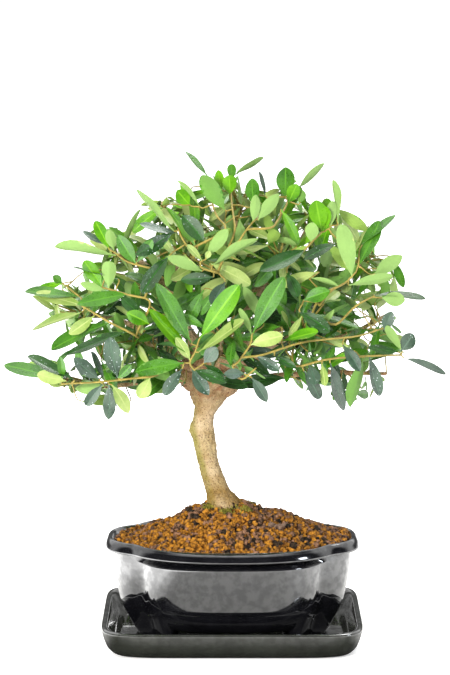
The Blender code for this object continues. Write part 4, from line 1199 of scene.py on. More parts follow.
# %% Spaces
def mass_spaces():
    """Space of each mass: its ellipsoid, and the planes that part it from its neighbours."""
    spaces = {}
    masses = {name: in_metres(row)[:2] for name, row in MASSES.items()}
    for name, (centre, radii) in masses.items():
        centre = Vector(centre)
        radii = [radius * SPACE_GROWTH for radius in radii]
        planes = []
        for other, (other_centre, other_radii) in masses.items():
            if other == name:
                continue
            away = Vector(other_centre) - centre
            normal = away.normalized()
            reach = math.sqrt(sum((r * n) ** 2 for r, n in zip(radii, normal)))
            other_reach = math.sqrt(sum((r * n) ** 2 for r, n in zip(other_radii, normal)))
            if reach + other_reach * SPACE_GROWTH > away.length:
                planes.append((normal, away.length * reach / (reach + other_reach * SPACE_GROWTH)))
        spaces[name] = (centre, radii, planes)
    return spaces


def dome_share(point):
    """0 in the middle of the crown, 1 on its dome."""
    crown = point - CROWN_MIDDLE
    sizes = (CROWN_HALF_WIDTH, CROWN_HALF_DEPTH, CROWN_RISE if crown.z > 0.0 else CROWN_DROP)
    total = sum(abs(v / size) ** CROWN_SQUARENESS for v, size in zip(crown, sizes))
    return total ** (1 / CROWN_SQUARENESS)


def in_space(space, point, margin=SPACE_MARGIN):
    """True where a point lies in a mass's space by at least the margin."""
    centre, radii, planes = space
    offset = point - centre
    if sum((value / (radius - margin)) ** 2 for value, radius in zip(offset, radii)) > 1.0:
        return False
    return dome_share(point) < 1.0 and all(offset.dot(n) < limit - margin for n, limit in planes)


spaces = mass_spaces()
print(len(spaces), "spaces; the crown is", round(2 * CROWN_HALF_WIDTH * 1000), "mm wide")

# %% [markdown]
# ## Through the camera
# The leaves that lead the eye are placed one by one, as the photograph shows them. A pixel is a
# ray from the camera, and a leaf sits where that ray meets its own depth: close under the front of
# the crown dome, which keeps every leading spray on the tree when it is seen from the side.

# %% Pixels and depths
LEAD_DEPTH = 0.80
CROWN_TOP = 0.3930
TOP_FADE = 0.055
PIXEL_SLOPE = CAMERA_FILM / CAMERA_LENS / PICTURE_HEIGHT
camera_turn = Matrix.Rotation(math.pi / 2 - CAMERA_TILT, 3, "X")


def pixel_ray(x, y):
    """Direction in the scene of a pixel of the photograph."""
    right, up = (x - PICTURE_WIDTH / 2) * PIXEL_SLOPE, (PICTURE_HEIGHT / 2 - y) * PIXEL_SLOPE
    return camera_turn @ Vector((right, up, -1.0))


def at_depth(x, y, depth):
    """Point on a pixel's ray at a distance behind the tree's middle plane."""
    ray = pixel_ray(x, y)
    return CAMERA_PLACE + ray * ((depth - CAMERA_PLACE.y) / ray.y)


def front_depth(x, y, share):
    """Depth on a pixel's ray at a share of the way from the middle plane to the dome's front."""
    middle = at_depth(x, y, 0.0)
    crown = middle - CROWN_MIDDLE
    rise = CROWN_RISE if crown.z > 0.0 else CROWN_DROP
    flat = abs(crown.x / CROWN_HALF_WIDTH) ** CROWN_SQUARENESS
    flat += abs(crown.z / rise) ** CROWN_SQUARENESS
    if flat >= 1.0:
        return 0.0
    depth = CROWN_HALF_DEPTH * (1.0 - flat) ** (1.0 / CROWN_SQUARENESS)
    return -share * max(0.0, depth) * min(1.0, max(0.0, (CROWN_TOP - middle.z) / TOP_FADE))


def to_pixel(point):
    """Pixel of the photograph that a point in the scene falls on."""
    seen = camera_turn.transposed() @ (point - CAMERA_PLACE)
    return Vector((PICTURE_WIDTH / 2 - seen.x / seen.z / PIXEL_SLOPE,
                   PICTURE_HEIGHT / 2 + seen.y / seen.z / PIXEL_SLOPE))


middle_pixel = to_pixel(Vector((-0.0226, 0.0, 0.16)))
print("trunk's middle falls on pixel", tuple(round(value) for value in middle_pixel))

# %% [markdown]
# ## Leading sprays
# A spray is a twig with its leaves. Each row gives the twig's points and then its leaves, in
# pixels: root, tip, the width that shows, and the kind. Young leaves are bright (n), then yellow
# green (y), mid green (g), dark green (d) and at last dusky blue green (b). Two more kinds show a
# leaf's pale underside: of a young leaf (l) and of an old one (o).

# %% Sprays
SPRAYS = (
    ("150,377 128,379 100,382 62,384",
     "60,379>4,364.5 12g 66,381>37,374 13y 74,380>28,355 12d 62,379>60,356 8g 99,379>74,358 14b "
     "104,380>92,352 7b 118,378>110,338 17b 103,384>86,406 11b 109,384>108,420 12b "
     "112,385>129,413 13y 150,378>139,398 14y 118,378>131,365 9g"),
    ("196,372 190,363 195,352 199,340",
     "191,343>157,283 17g 191,356>149,309 12n 190,360>176,338 10y 184,363>135.5,372 15g "
     "200,338>239,285 20n 199,352>244,320 9y 182,369>164,395 12b 192,369>209,395 13b "
     "194,370>226,383 11d 204,363>217,348 14b"),
    ("238,362 250,345 252,334",
     "253,333>284,277 19g 250,345>283,336 14y 282,341>318,331 8n 252,335>240,308 6l "
     "244,352>232,318 6g"),
    ("127,331 109,322 94,313 82,306",
     "80,297>25,290 10g 85,306>36,292 13y 82,312>31,328 9y 94,316>69,334 12y 109,323>50,348 13g "
     "127,331>63,355 11d 62,283>53,276 8g"),
    ("145,298 129,295 112,290 104,288",
     "129,294>77,304 14g 102,287>84,261 14n 109,289>109,261 14l 118,279>73,267 3b "
     "120,296>137,312 12d 105,290>80,283 8l 149,324>127,313 14n"),
    ("150,268 128,262 114,252",
     "116,256>55,246 8l 109,249>95,221 12n 114,250>109,229 10l 107,245>83,231 7b "
     "121,253>139,209 7l 136,264>118,235 14g 137,262>152,240 10g"),
    ("190,250 182,238 178,228",
     "174,231>137,190 10l 179,234>140,223 5b 197,249>168,205 8n 174,232>136,255 14d "
     "205,243>182,215 16d 169,256>142,293 15d"),
    ("214,272 202,268 200,262",
     "202,271>167,256 11l 202,261>187,245 7y 206,259>210,251 6y 206,256>228,229 12l "
     "213,265>257,236 9l 213,277>181,280 12d 225,282>212,305 14b"),
    ("225,225 215,212 207,178",
     "207,176>185,151 7g 225,210>202,176 18o 200,207>179,180 4l 190,205>177,190 14n"),
    ("235,225 232,205 231,190",
     "230,195>229,175 14n 232,180>231,164 9g 233,176>263,157 5l 222,190>218,170 9n"),
    ("240,240 245,232 253,222 258,218",
     "254,205>252,178 14g 253,222>256,195 10l 258,220>279,194 12l"),
    ("275,225 285,208 288,200",
     "285,197>285.5,167 18g 288,203>297,184 13n 298,188>324,163 8l 300,203>302,190 9o "
     "265,196>259,171 5b"),
    ("300,255 311,243 322,232",
     "311,242>313,222 13l 322,231>316,200 18n 325,231>322,206 15n 331,226>333,201 10l "
     "338,224>335,180 5l 307,249>260,270 15d 337,243>304,259 10d"),
    ("330,290 345,283 356,272",
     "352,278>341,224 17l 358,266>379,220 14g 362,245>394,213 5g 374,274>402,256 14l "
     "349,285>393,276 10l"),
    ("340,322 356,306 372,297", "382,298>405,300 14l 374,295>426,296 4d"),
    ("266,354 300,343 330,339 358,336 384,328", "384,330>392,312 12b 343,345>360,371 12b"),
    ("302,366 330,359 370,356 401,355",
     "402,351>387,325 8l 401,351>413,334 15b 398,352>368,347 9d 404,358>447,372 6b "
     "369,356>380,396 10b 364,358>350,407 12o 330,363>346,411 14b 309,365>316,384 13b "
     "304,371>320,399 12b 322,364>325,386 8y"),
    ("245,378 256,368",
     "252,378>267,402 11b 256,356>279,370 10b 275,356>296,367 8d 244,374>224,374 10b"),
    ("320,305 330,292 345,283",
     "304,300>330,291 14g 300,312>330,332 14d 287,273>298,297 12d 311,278>339,285 6l"),
)


def read_leaf(ends, looks):
    """Root and tip pixels of a leaf, the width it shows and its kind."""
    root, tip = ends.split(">")
    return numbers(root), numbers(tip), float(looks[:-1]), looks[-1]


lead_count = sum(len(row.split()) // 2 for _, row in SPRAYS)
print(len(SPRAYS), "leading sprays with", lead_count, "leaves")

# %% [markdown]
# ## Placing the leading leaves
# A leaf here is a short record: root, axis, upper face direction, length, width, bend and kind.
# The pixels give root and tip; the width that shows, against the width such a leaf has, gives how
# far it is turned away. Where the underside shows, the face direction points away from the camera.

# %% Leading leaves
LEAF_SLENDERNESS = 3.35
LEAD_TIP_DEPTH = 0.93
LEAD_LEAN = 0.45
LEAD_WIDEST = 0.0150
LEAD_BEND = (0.0, 0.05)
LEAD_LEAST = 6.0
TWIG_RADIUS = 0.0010
TWIG_TIP_RADIUS = 0.0007
# Metres that one pixel of the photograph covers at the tree
PIXEL = 0.00080
dice = random.Random(21)


def lead_leaf(root_pixel, tip_pixel, shown, kind):
    """Leaf record from what the photograph shows of it."""
    root_depth = front_depth(*root_pixel, LEAD_DEPTH)
    span = math.dist(root_pixel, tip_pixel) * PIXEL
    lean = front_depth(*tip_pixel, LEAD_TIP_DEPTH) - root_depth
    lean = max(-LEAD_LEAN * span, min(LEAD_LEAN * span, lean))
    while at_depth(*tip_pixel, root_depth + lean).z > CROWN_TOP:
        root_depth += 0.001
    root = at_depth(*root_pixel, root_depth)
    tip = at_depth(*tip_pixel, root_depth + lean)
    length = (tip - root).length
    axis = (tip - root) / length
    width = max(shown * PIXEL, min(length / LEAF_SLENDERNESS, LEAD_WIDEST))
    turn = math.acos(min(1.0, shown * PIXEL / width))
    toward = CAMERA_PLACE - root
    toward = (toward - axis * toward.dot(axis)).normalized()
    side = axis.cross(toward)
    side = side if side.z > 0.0 else -side
    facing = -1.0 if kind in "lo" else 1.0
    face = (toward * math.cos(turn) * facing + side * math.sin(turn)).normalized()
    return {"root": root, "axis": axis, "face": face, "length": length, "width": width,
            "bend": dice.uniform(*LEAD_BEND), "kind": {"l": "y", "o": "g"}.get(kind, kind)}


lead_leaves = []
lead_outlines = []
for _, row in SPRAYS:
    words = row.split()
    for ends, looks in zip(words[::2], words[1::2]):
        root_pixel, tip_pixel, shown, kind = read_leaf(ends, looks)
        leaf = lead_leaf(root_pixel, tip_pixel, shown, kind)
        lead_leaves.append(leaf)
        reach = max(shown, LEAD_LEAST) / 2
        lead_outlines.append((*root_pixel, *tip_pixel, reach, leaf["root"].y))
lead_outlines = np.array(lead_outlines)
mean_length = sum(leaf["length"] for leaf in lead_leaves) / len(lead_leaves)
print("leading leaves:", len(lead_leaves), "mean length", round(1000 * mean_length), "mm")

# %% [markdown]
# ## Rule of growth
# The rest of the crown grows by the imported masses' rule, carried to finer twigs. From the end of
# its bough each mass sends one stem through its space; shoots leave it near a set angle towards
# the named tips and then towards points spread evenly round the space; each shoot ends in one leaf
# and bears opposite pairs below it, every pair turned a quarter from the last, as olives do. Of a
# few candidate leaves, the one with most room is kept, and none may touch a limb, a twig or
# another leaf.

# %% Growth values
GROWTH_SEED = 11
STEM_STEPS = 8
STEM_OVERSHOOT = 0.12
STEM_TIP_RADIUS = 0.0013
SHOOT_RADIUS = 0.0010
SHOOT_TIP_RADIUS = 0.0006
SHOOT_STEPS = 5
SHOOT_ANGLE = math.radians(48.0)
SHOOT_SHORTEST = 0.010
SHOOT_BARE = 0.18
FILL_SHOOTS = 13
INTERNODE = 0.0105
LEAF_LENGTH = 0.041
TERMINAL_LENGTH = 0.033
LEAF_THICKNESS = 0.022
LEAF_ROOM = 0.0056
TIP_LEAF_SHARE = 0.50
YOUNG_LEAF_SHARE = 0.66
FIRST_PAIR = 0.003
LEAF_SPREAD = (math.radians(32.0), math.radians(62.0))
OLD_LEAF_SPREAD = math.radians(16.0)
LEAF_SPREAD_STEP = math.radians(4.0)
LEAF_ROLL = 0.6
LEAF_DROOP = 0.45
LEAF_BEND = (0.02, 0.14)
BEND_REACH = 0.38
LEAF_CROWDED = 0.06
LEAF_TRIES = 13
LIMB_CLEARANCE = 0.0004
GOLDEN_ANGLE = math.pi * (3.0 - math.sqrt(5.0))
LEAF_OUTLINE = ((1.0, 0.0), (0.72, 0.80), (0.34, 0.95), (0.0, 0.0), (0.34, -0.95), (0.72, -0.80))
LEAF_FACES = [(i, (i + 1) % 6, 6) for i in range(6)] + [((i + 1) % 6, i, 7) for i in range(6)]

limb_points, limb_faces = [], []
for name in ["trunk"] + ["bough_" + name for name in BOUGHS]:
    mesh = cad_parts[name].data
    start = len(limb_points)
    limb_points += [vert.co.copy() for vert in mesh.vertices]
    limb_faces += [tuple(start + index for index in face.vertices) for face in mesh.polygons]
limbs = BVHTree.FromPolygons(limb_points, limb_faces)
print("limb faces that leaves keep clear of:", len(limb_faces))


# %% [markdown]
# The photograph also shows where the crown lets the sky through: round its uneven edge, and in a
# few gaps. Both are written as a handful of pixels, and no leaf of the rule may cross them. A leaf
# is tested at a few marks along its midrib. Nor may it hide one of the leading leaves, or reach
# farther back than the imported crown.

# %% Edge and gaps
LEAF_MARKS = (0.12, 0.35, 0.6, 0.85, 1.0)
LEAD_CLEAR_PIXELS = 3.0
LEAD_CLEAR_DEPTH = 0.004
CROWN_BACK = 0.1232
# Pixels round the crown's edge, and the gaps in it: middle, half width and half height
EDGE_WORDS = (
    "416,340 413,352 392,358 384,370 384,390 374,396 352,404 330,402 322,396 306,398 300,384 "
    "276,382 266,396 248,386 212,388 186,384 160,388 150,396 132,408 104,410 88,402 76,392 "
    "60,386 36,377 26,360 60,356 72,342 66,326 52,314 38,304 28,292 50,281 80,285 84,262 112,252 "
    "84,240 84,232 100,222 126,232 136,214 140,200 158,202 170,192 178,182 186,184 194,194 "
    "202,194 206,178 214,170 226,163 236,170 242,192 248,176 262,176 266,194 272,190 277,176 "
    "286,168 298,180 304,188 307,206 318,198 327,206 333,186 344,203 348,218 372,222 379,228 "
    "374,246 380,258 398,256 403,280 408,293 384,304 372,314 384,326 393,314 400,330")
GAP_WORDS = (
    "145,304,4,9 187,308,5,6 193,332,4,8 262,287,5,6 281,331,5,5 116,354,6,8 104,340,8,6 "
    "90,352,8,6 176,268,6,6 331,238,4,4 366,338,10,5 340,352,8,5 353,378,6,18 371,376,4,16 "
    "346,362,8,5 290,388,12,8 148,231,11,8 124,388,8,5 76,374,6,6 98,364,5,6 84,392,8,4 "
    "312,270,3,3 123,322,4,9 122,275,6,5 365,322,8,5 96,320,5,4 142,258,6,5 131,398,8,7 "
    "328,392,7,9 143,213,7,8 172,190,7,6 98,258,8,5 68,362,6,8 384,364,6,7")
CROWN_EDGE = np.array([numbers(word) for word in EDGE_WORDS.split()])
CROWN_GAPS = np.array([numbers(word) for word in GAP_WORDS.split()])
print("the crown's edge has", len(CROWN_EDGE), "pixels and", len(CROWN_GAPS), "gaps")


# %% Outline of a leaf
LEAF_CREST = 0.36
CREST_ARCH = 0.13
TWIG_REACH = 0.1


def leaf_middle(leaf):
    """Point halfway along a leaf."""
    return leaf["root"] + leaf["axis"] * leaf["length"] / 2


def coarse_leaf(leaf, swell, cut_root):
    """Six points round a leaf's edge and its two crests, a little larger than the leaf."""
    side = leaf["face"].cross(leaf["axis"])
    length = leaf["length"]
    points = []
    for share, half in LEAF_OUTLINE:
        share = max(share, cut_root)
        arch = -leaf["bend"] * length * share * share
        points.append(leaf["root"] + leaf["axis"] * length * share
                      + side * half * (leaf["width"] / 2 + swell) + leaf["face"] * arch)
    for lift in (1.0, -1.0):
        rise = lift * (LEAF_THICKNESS * length / 2 + swell) - leaf["bend"] * length * CREST_ARCH
        points.append(leaf["root"] + leaf["axis"] * length * LEAF_CREST + leaf["face"] * rise)
    return points


# %% Tests in the picture
def leaf_pixels(leaf):
    """Places along a leaf's midrib: their pixels in the photograph's view, and their depths."""
    spots = [leaf["root"] + leaf["axis"] * leaf["length"] * share for share in LEAF_MARKS]
    return np.array([tuple(to_pixel(spot)) for spot in spots]), np.array([spot.y for spot in spots])


def inside_edge(pixels):
    """True where every pixel lies inside the crown's edge and outside its gaps."""
    x, y = pixels[:, 0:1], pixels[:, 1:2]
    x0, y0 = CROWN_EDGE[None, :, 0], CROWN_EDGE[None, :, 1]
    x1, y1 = np.roll(x0, -1, axis=1), np.roll(y0, -1, axis=1)
    crosses = (y0 > y) != (y1 > y)
    rise = np.where(y1 == y0, 1.0, y1 - y0)
    right = x < x0 + (x1 - x0) * (y - y0) / rise
    inside = (crosses & right).sum(axis=1) % 2 == 1
    gap = ((x - CROWN_GAPS[None, :, 0]) / CROWN_GAPS[None, :, 2]) ** 2
    gap = gap + ((y - CROWN_GAPS[None, :, 1]) / CROWN_GAPS[None, :, 3]) ** 2
    return bool(inside.all() and (gap > 1.0).all())


def midrib_gaps(pixels, rows, low, high):
    """Distance of each pixel from each row's midrib, of which a share from low to high counts."""
    start = rows[:, 0:2]
    along = rows[:, 2:4] - start
    offset = pixels[:, None, :] - start[None]
    share = np.clip((offset * along).sum(axis=2) / (along * along).sum(axis=1), low, high)
    return np.linalg.norm(offset - share[..., None] * along, axis=2)


def hides_a_leading_leaf(pixels, depths):
    """True where a leaf would stand in front of a leading leaf in the photograph's view."""
    over = midrib_gaps(pixels, lead_outlines, 0.0, 1.0) < lead_outlines[:, 4] + LEAD_CLEAR_PIXELS
    return bool((over & (depths[:, None] < lead_outlines[:, 5] + LEAD_CLEAR_DEPTH)).any())


# %% Tests in space
def search_tree(leaf):
    """Search tree of a leaf, swollen by the distance that it keeps."""
    return BVHTree.FromPolygons(coarse_leaf(leaf, LIMB_CLEARANCE, LEAF_CROWDED), LEAF_FACES)


def leaf_tree(leaf, space, grown):
    """Search tree of a leaf that keeps to its place and clear of all else, or None."""
    outline = coarse_leaf(leaf, 0.0, 0.0)
    if max(point.y for point in outline) > CROWN_BACK:
        return None
    if space is not None:
        if not all(in_space(space, point) for point in outline):
            return None
        pixels, depths = leaf_pixels(leaf)
        if not inside_edge(pixels) or hides_a_leading_leaf(pixels, depths):
            return None
    tree = search_tree(leaf)
    if limbs.overlap(tree):
        return None
    middle = leaf_middle(leaf)
    for other, other_middle in grown["trees"]:
        if (middle - other_middle).length < LEAF_LENGTH and other.overlap(tree):
            return None
    for points, _ in grown["twigs"]:
        if (points[0] - middle).length > TWIG_REACH:
            continue
        for a, b in zip(points, points[1:]):
            step = b - a
            if tree.ray_cast(a, step.normalized(), step.length)[0] is not None:
                return None
    return tree


def keep_leaf(leaf, tree, grown):
    """Note a leaf and its search tree."""
    middle = leaf_middle(leaf)
    grown["leaves"].append(leaf)
    grown["trees"].append((tree, middle))
    grown["middles"].append(middle)


def best_leaf(candidates, space, grown):
    """Keep the candidate that fits and lies farthest from the leaves that have grown."""
    best = None
    for leaf in candidates:
        middle = leaf_middle(leaf)
        room = min([(middle - other).length for other in grown["middles"]], default=1.0)
        if room > (best[0] if best else LEAF_ROOM):
            tree = leaf_tree(leaf, space, grown)
            if tree is not None:
                best = (room, leaf, tree)
    if best is not None:
        keep_leaf(best[1], best[2], grown)
    return best is not None


# %% [markdown]
# A leaf leans out from its shoot, more so the older it is, and turns its upper face to the light.
# The leaves are tried from the shoot's tip inwards, as the youngest stand there, and each place
# gets a few tries with other angles and lengths before it stays empty.

# %% One leaf, then the leaves of a shoot
def rule_leaf(root, shoot_way, out_way, spread, droop, length, age, dice):
    """Leaf beside a shoot, its upper face turned to the shoot's tip and the sky."""
    axis = shoot_way * math.cos(spread) + out_way * math.sin(spread)
    axis = (axis + Vector((0.0, 0.0, -droop))).normalized()
    turn = dice.uniform(0.0, 2.0 * math.pi)
    sky = Vector((math.cos(turn), math.sin(turn), dice.uniform(0.1, 1.2))).normalized()
    face = shoot_way.lerp(sky, dice.uniform(0.4, 1.0))
    face = (face - axis * face.dot(axis)).normalized()
    bend = dice.uniform(*LEAF_BEND) if spread else 0.0
    width = length / LEAF_SLENDERNESS * dice.uniform(0.9, 1.12)
    return {"root": root, "axis": axis, "face": face, "length": length, "width": width,
            "bend": bend, "age": age}


def grow_leaves(shoot, terminal, tip, space, grown, dice):
    """One leaf at a shoot's end, then opposite pairs, each turned a quarter from the last.

    Gives the share of the shoot that carries leaves, so that no bare end is left.
    """
    marks = [0.0]
    for a, b in zip(shoot, shoot[1:]):
        marks.append(marks[-1] + (b - a).length)
    total = marks[-1]
    way = (shoot[-1] - shoot[-2]).normalized()
    if tip is not None and (tip - shoot[-1]).length < 1.05 * terminal:
        way = (tip - shoot[-1]).normalized()
    across = way.orthogonal().normalized()
    lengths = [terminal * (1.0 - 0.01 * k) for k in range(LEAF_TRIES)]
    ended = best_leaf([rule_leaf(shoot[-1], way, across, 0.0, 0.0, length, 0.0, dice)
                       for length in lengths], space, grown)
    used = total if ended else 0.0
    turn = dice.uniform(0.0, math.pi)
    pairs = 1 + int(total * (1.0 - SHOOT_BARE) / INTERNODE)
    for pair in range(pairs):
        at = total - FIRST_PAIR - pair * INTERNODE
        segment = max([i for i in range(len(marks) - 1) if marks[i] <= at], default=0)
        share = (at - marks[segment]) / (marks[segment + 1] - marks[segment])
        root = shoot[segment].lerp(shoot[segment + 1], max(0.1, share))
        shoot_way = (shoot[segment + 1] - shoot[segment]).normalized()
        side = Matrix.Rotation(turn + pair * math.pi / 2, 3, shoot_way)
        side = side @ shoot_way.orthogonal().normalized()
        age = min(1.0, 0.35 * (pair + 1))
        grown_up = YOUNG_LEAF_SHARE + (1.0 - YOUNG_LEAF_SHARE) * min(1.0, 0.5 * pair)
        for sign in (1.0, -1.0):
            length = LEAF_LENGTH * grown_up
            length *= dice.uniform(0.84, 1.08)
            candidates = []
            for attempt in range(LEAF_TRIES):
                spread = dice.uniform(*LEAF_SPREAD)
                spread = spread + OLD_LEAF_SPREAD * age + LEAF_SPREAD_STEP * attempt
                roll = Matrix.Rotation(dice.uniform(-LEAF_ROLL, LEAF_ROLL), 3, shoot_way)
                droop = age * dice.uniform(0.0, LEAF_DROOP)
                candidates.append(rule_leaf(root, shoot_way, roll @ (side * sign), spread, droop,
                                            length * (1.0 - 0.03 * attempt), age, dice))
            if best_leaf(candidates, space, grown):
                used = max(used, at)
    return used / total


# %% [markdown]
# Stems and shoots are cubic curves, because a twig leaves its parent along one direction and
# arrives at its tip along another. A shoot that would leave its space, pass the crown's edge or
# graze a limb is cut back from its tip until it fits.

# %% Stems
def bend_path(start, start_way, end, end_way, steps):
    """Points of a cubic curve that leaves and arrives along two directions."""
    reach = (end - start).length * BEND_REACH
    one = start + start_way * reach
    two = end - end_way * reach
    return [start * (1 - t) ** 3 + one * 3 * t * (1 - t) ** 2
            + two * 3 * t * t * (1 - t) + end * t ** 3
            for t in [i / steps for i in range(steps + 1)]]


def fading(first, last, count):
    """Radii that taper evenly."""
    return [first + (last - first) * i / (count - 1) for i in range(count)]


def grow_stem(name, centre):
    """Stem of a mass: out of its bough's end to a little beyond the middle of the space."""
    path, radii = bough_path(name, BOUGH_STEP)
    way = (path[-1] - path[-2]).normalized()
    start = path[-1] - way * 0.001
    end = centre + (centre - start) * STEM_OVERSHOOT
    stem = bend_path(start, way, end, (end - start).normalized(), STEM_STEPS)
    return stem, fading(radii[-1] * 0.98, STEM_TIP_RADIUS, STEM_STEPS + 1)


# %% Shoots
def room_along(space, start, direction):
    """Distance from a start point to the edge of the space."""
    distance = 0.0
    while in_space(space, start + direction * (distance + 0.001)):
        distance += 0.001
    return distance


def shoot_ends(name, space, dice):
    """End and last leaf's length of each shoot: at the named tips, then spread round the space."""
    centre = space[0]
    ends = []
    for tip in map(Vector, in_metres(MASSES[name])[2:]):
        length = min(LEAF_LENGTH * dice.uniform(0.85, 0.98), TIP_LEAF_SHARE * (tip - centre).length)
        ends.append((tip - (tip - centre).normalized() * length, length, tip))
    for k in range(FILL_SHOOTS):
        height = 1.0 - 1.9 * (k + 0.5) / FILL_SHOOTS
        turn = GOLDEN_ANGLE * (k + 3 * list(MASSES).index(name)) + dice.uniform(-0.4, 0.4)
        flat = math.sqrt(1.0 - height * height)
        out = Vector((flat * math.cos(turn), flat * math.sin(turn), height))
        length = TERMINAL_LENGTH * dice.uniform(0.75, 1.15)
        room = room_along(space, centre, out) - length
        reach = max(SHOOT_SHORTEST, room * dice.uniform(0.72, 1.0))
        ends.append((centre + out * reach, length, None))
    return ends


def clear_of_limbs(points, radius):
    """True where a tube keeps its distance from every limb."""
    return all(limbs.find_nearest(point, radius + LIMB_CLEARANCE)[0] is None for point in points)


def shoot_fits(space, shoot):
    """True where a shoot keeps to its space, the crown's edge and clear of the limbs."""
    return (all(in_space(space, point, SPACE_MARGIN + SHOOT_RADIUS) for point in shoot)
            and inside_edge(np.array([tuple(to_pixel(shoot[-1]))]))
            and clear_of_limbs(shoot, SHOOT_RADIUS))


# %% One mass
def grow_mass(name, stem, grown):
    """Twigs and leaves of one mass, grown from its stem."""
    dice = random.Random(GROWTH_SEED * 1000 + list(MASSES).index(name))
    space = spaces[name]
    ready = []
    for end, terminal, tip in shoot_ends(name, space, dice):
        def misfit(i):
            return abs((end - stem[i]).angle(stem[i + 1] - stem[i], 0.0) - SHOOT_ANGLE)
        index = min(range(1, STEM_STEPS), key=misfit)
        out = (end - stem[index]).normalized()
        along = (stem[index + 1] - stem[index]).normalized()
        shoot = bend_path(stem[index], (along + out).normalized(), end, out, SHOOT_STEPS)
        while len(shoot) > 2 and not shoot_fits(space, shoot):
            shoot = shoot[:-1]
        if len(shoot) > 2:
            grown["twigs"].append((shoot, fading(SHOOT_RADIUS, SHOOT_TIP_RADIUS, len(shoot))))
            ready.append((list(shoot), terminal, tip))
    for twig, (shoot, terminal, tip) in zip(grown["twigs"][-len(ready):], ready):
        used = grow_leaves(shoot, terminal, tip, space, grown, dice)
        last = used * (len(shoot) - 1)
        kept = [point for i, point in enumerate(shoot) if i < last] + [
            shoot[int(last)].lerp(shoot[min(int(last) + 1, len(shoot) - 1)], last % 1.0)]
        if len(kept) > 1:
            twig[0][:] = kept
            twig[1][:] = fading(twig[1][0], twig[1][-1], len(kept))
        else:
            grown["twigs"] = [other for other in grown["twigs"] if other is not twig]


# %% [markdown]
# The leading sprays grow first, so that the rest makes room for them. Each spray's twig starts
# from the nearest wood that lies further in, and a leaf whose root stands off the twig gets a
# small twig of its own. Then the nineteen masses fill in behind and around them.

# %% Grow everything
grown = {"twigs": [], "leaves": [], "trees": [], "middles": []}
SIDE_TWIG_FROM = 0.0016
SIDE_TWIG_RADII = (0.0007, 0.0005)
HEAD = Vector((-0.014, 0.0, 0.220))
stems = {name: grow_stem(name, spaces[name][0]) for name in MASSES}
wood = []
for name in MASSES:
    path, _ = bough_path(name, BOUGH_STEP)
    wood += path[len(path) // 3:]
    wood += smooth_row(stems[name][0], 3)
    grown["twigs"].append(stems[name])


def nearest_wood(point, outward):
    """Nearest point of the wood, further in than the given point where that is asked for."""
    def cost(spot):
        step = point - spot
        if not outward:
            return step.length
        seen = math.hypot(step.x * 1.8, step.y, step.z * 1.8)
        inward = step.dot(spot - HEAD) < 0.2 * step.length * (spot - HEAD).length
        return seen + (1.0 if inward else 0.0)
    return min(wood, key=cost)


side_twigs = 0
for twig, _ in SPRAYS:
    pixels = [numbers(word) for word in twig.split()]
    points = [at_depth(x, y, front_depth(x, y, LEAD_DEPTH)) for x, y in pixels]
    host = nearest_wood(points[0], True)
    way = (points[0] - host).normalized()
    link = bend_path(host, way, points[0], (points[1] - points[0]).normalized(), 6)
    path = link[:-1] + smooth_row(points, 4)
    grown["twigs"].append((path, fading(TWIG_RADIUS, TWIG_TIP_RADIUS, len(path))))
    wood += path
for leaf in lead_leaves:
    near = nearest_wood(leaf["root"], False)
    if (near - leaf["root"]).length > SIDE_TWIG_FROM:
        way = (leaf["root"] - near).normalized() + leaf["axis"] * 0.3
        twig = bend_path(near, way.normalized(), leaf["root"], leaf["axis"], 4)
        grown["twigs"].append((twig, fading(*SIDE_TWIG_RADII, len(twig))))
        side_twigs += 1
        wood += twig[1:]
    keep_leaf(leaf, search_tree(leaf), grown)
for name in MASSES:
    before = len(grown["leaves"])
    grow_mass(name, stems[name][0], grown)
    print(name, "leaves:", len(grown["leaves"]) - before)
print("leaves in all:", len(grown["leaves"]), "side twigs:", side_twigs)

# %% [markdown]
# Where the photograph shows leaves and the rule has left the sky or a bare limb open, single
# leaves close the view. The picture inside the crown's edge is walked over in small steps; at a
# place that no leaf covers yet, one leaf is tried at a few depths, on a thin stalk from the
# nearest wood.

# %% Values for the open places
COVER_STEP = 6
COVER_LEFT, COVER_RIGHT, COVER_TOP, COVER_BOTTOM = 26, 420, 160, 405
# Shares of the way to the dome's front, in the order in which they are tried
COVER_DEPTHS = (0.45, 0.15, 0.70, -0.20, 0.30)
COVER_LEAF = (0.026, 0.040)
COVER_REACH = 0.045
COVER_SHARE = 0.36
COVER_JITTER = 1.5
COVER_LIMBS = -0.012
# Pixels: middle and half sizes of the place where only leaves before the limbs count
BARE_PLACE = (245, 300, 70, 66)
STALK_FROM = 0.0012
STALK_REACH = 0.6
STALK_RADII = (0.0006, 0.0004)
SINGLE_WIDTH = (0.92, 1.12)
dice = random.Random(77)


# %% Leaf on a stalk of its own
def cover_row(leaf):
    """What a leaf covers in the picture: root and tip pixels, reach, and its depth."""
    tip = leaf["root"] + leaf["axis"] * leaf["length"]
    return (*to_pixel(leaf["root"]), *to_pixel(tip), COVER_SHARE * leaf["width"] / PIXEL,
            leaf["root"].y)


covers = np.array([cover_row(leaf) for leaf in grown["leaves"]])


def is_covered(x, y):
    """True where a leaf is seen at a pixel, before the limbs where the picture shows none."""
    over = midrib_gaps(np.array([(x, y)]), covers, 0.1, 0.95)[0] < covers[:, 4]
    middle_x, middle_y, half_width, half_height = BARE_PLACE
    bare = ((x - middle_x) / half_width) ** 2 + ((y - middle_y) / half_height) ** 2 < 1.0
    return bool((over & ((covers[:, 5] < COVER_LIMBS) | (not bare))).any())


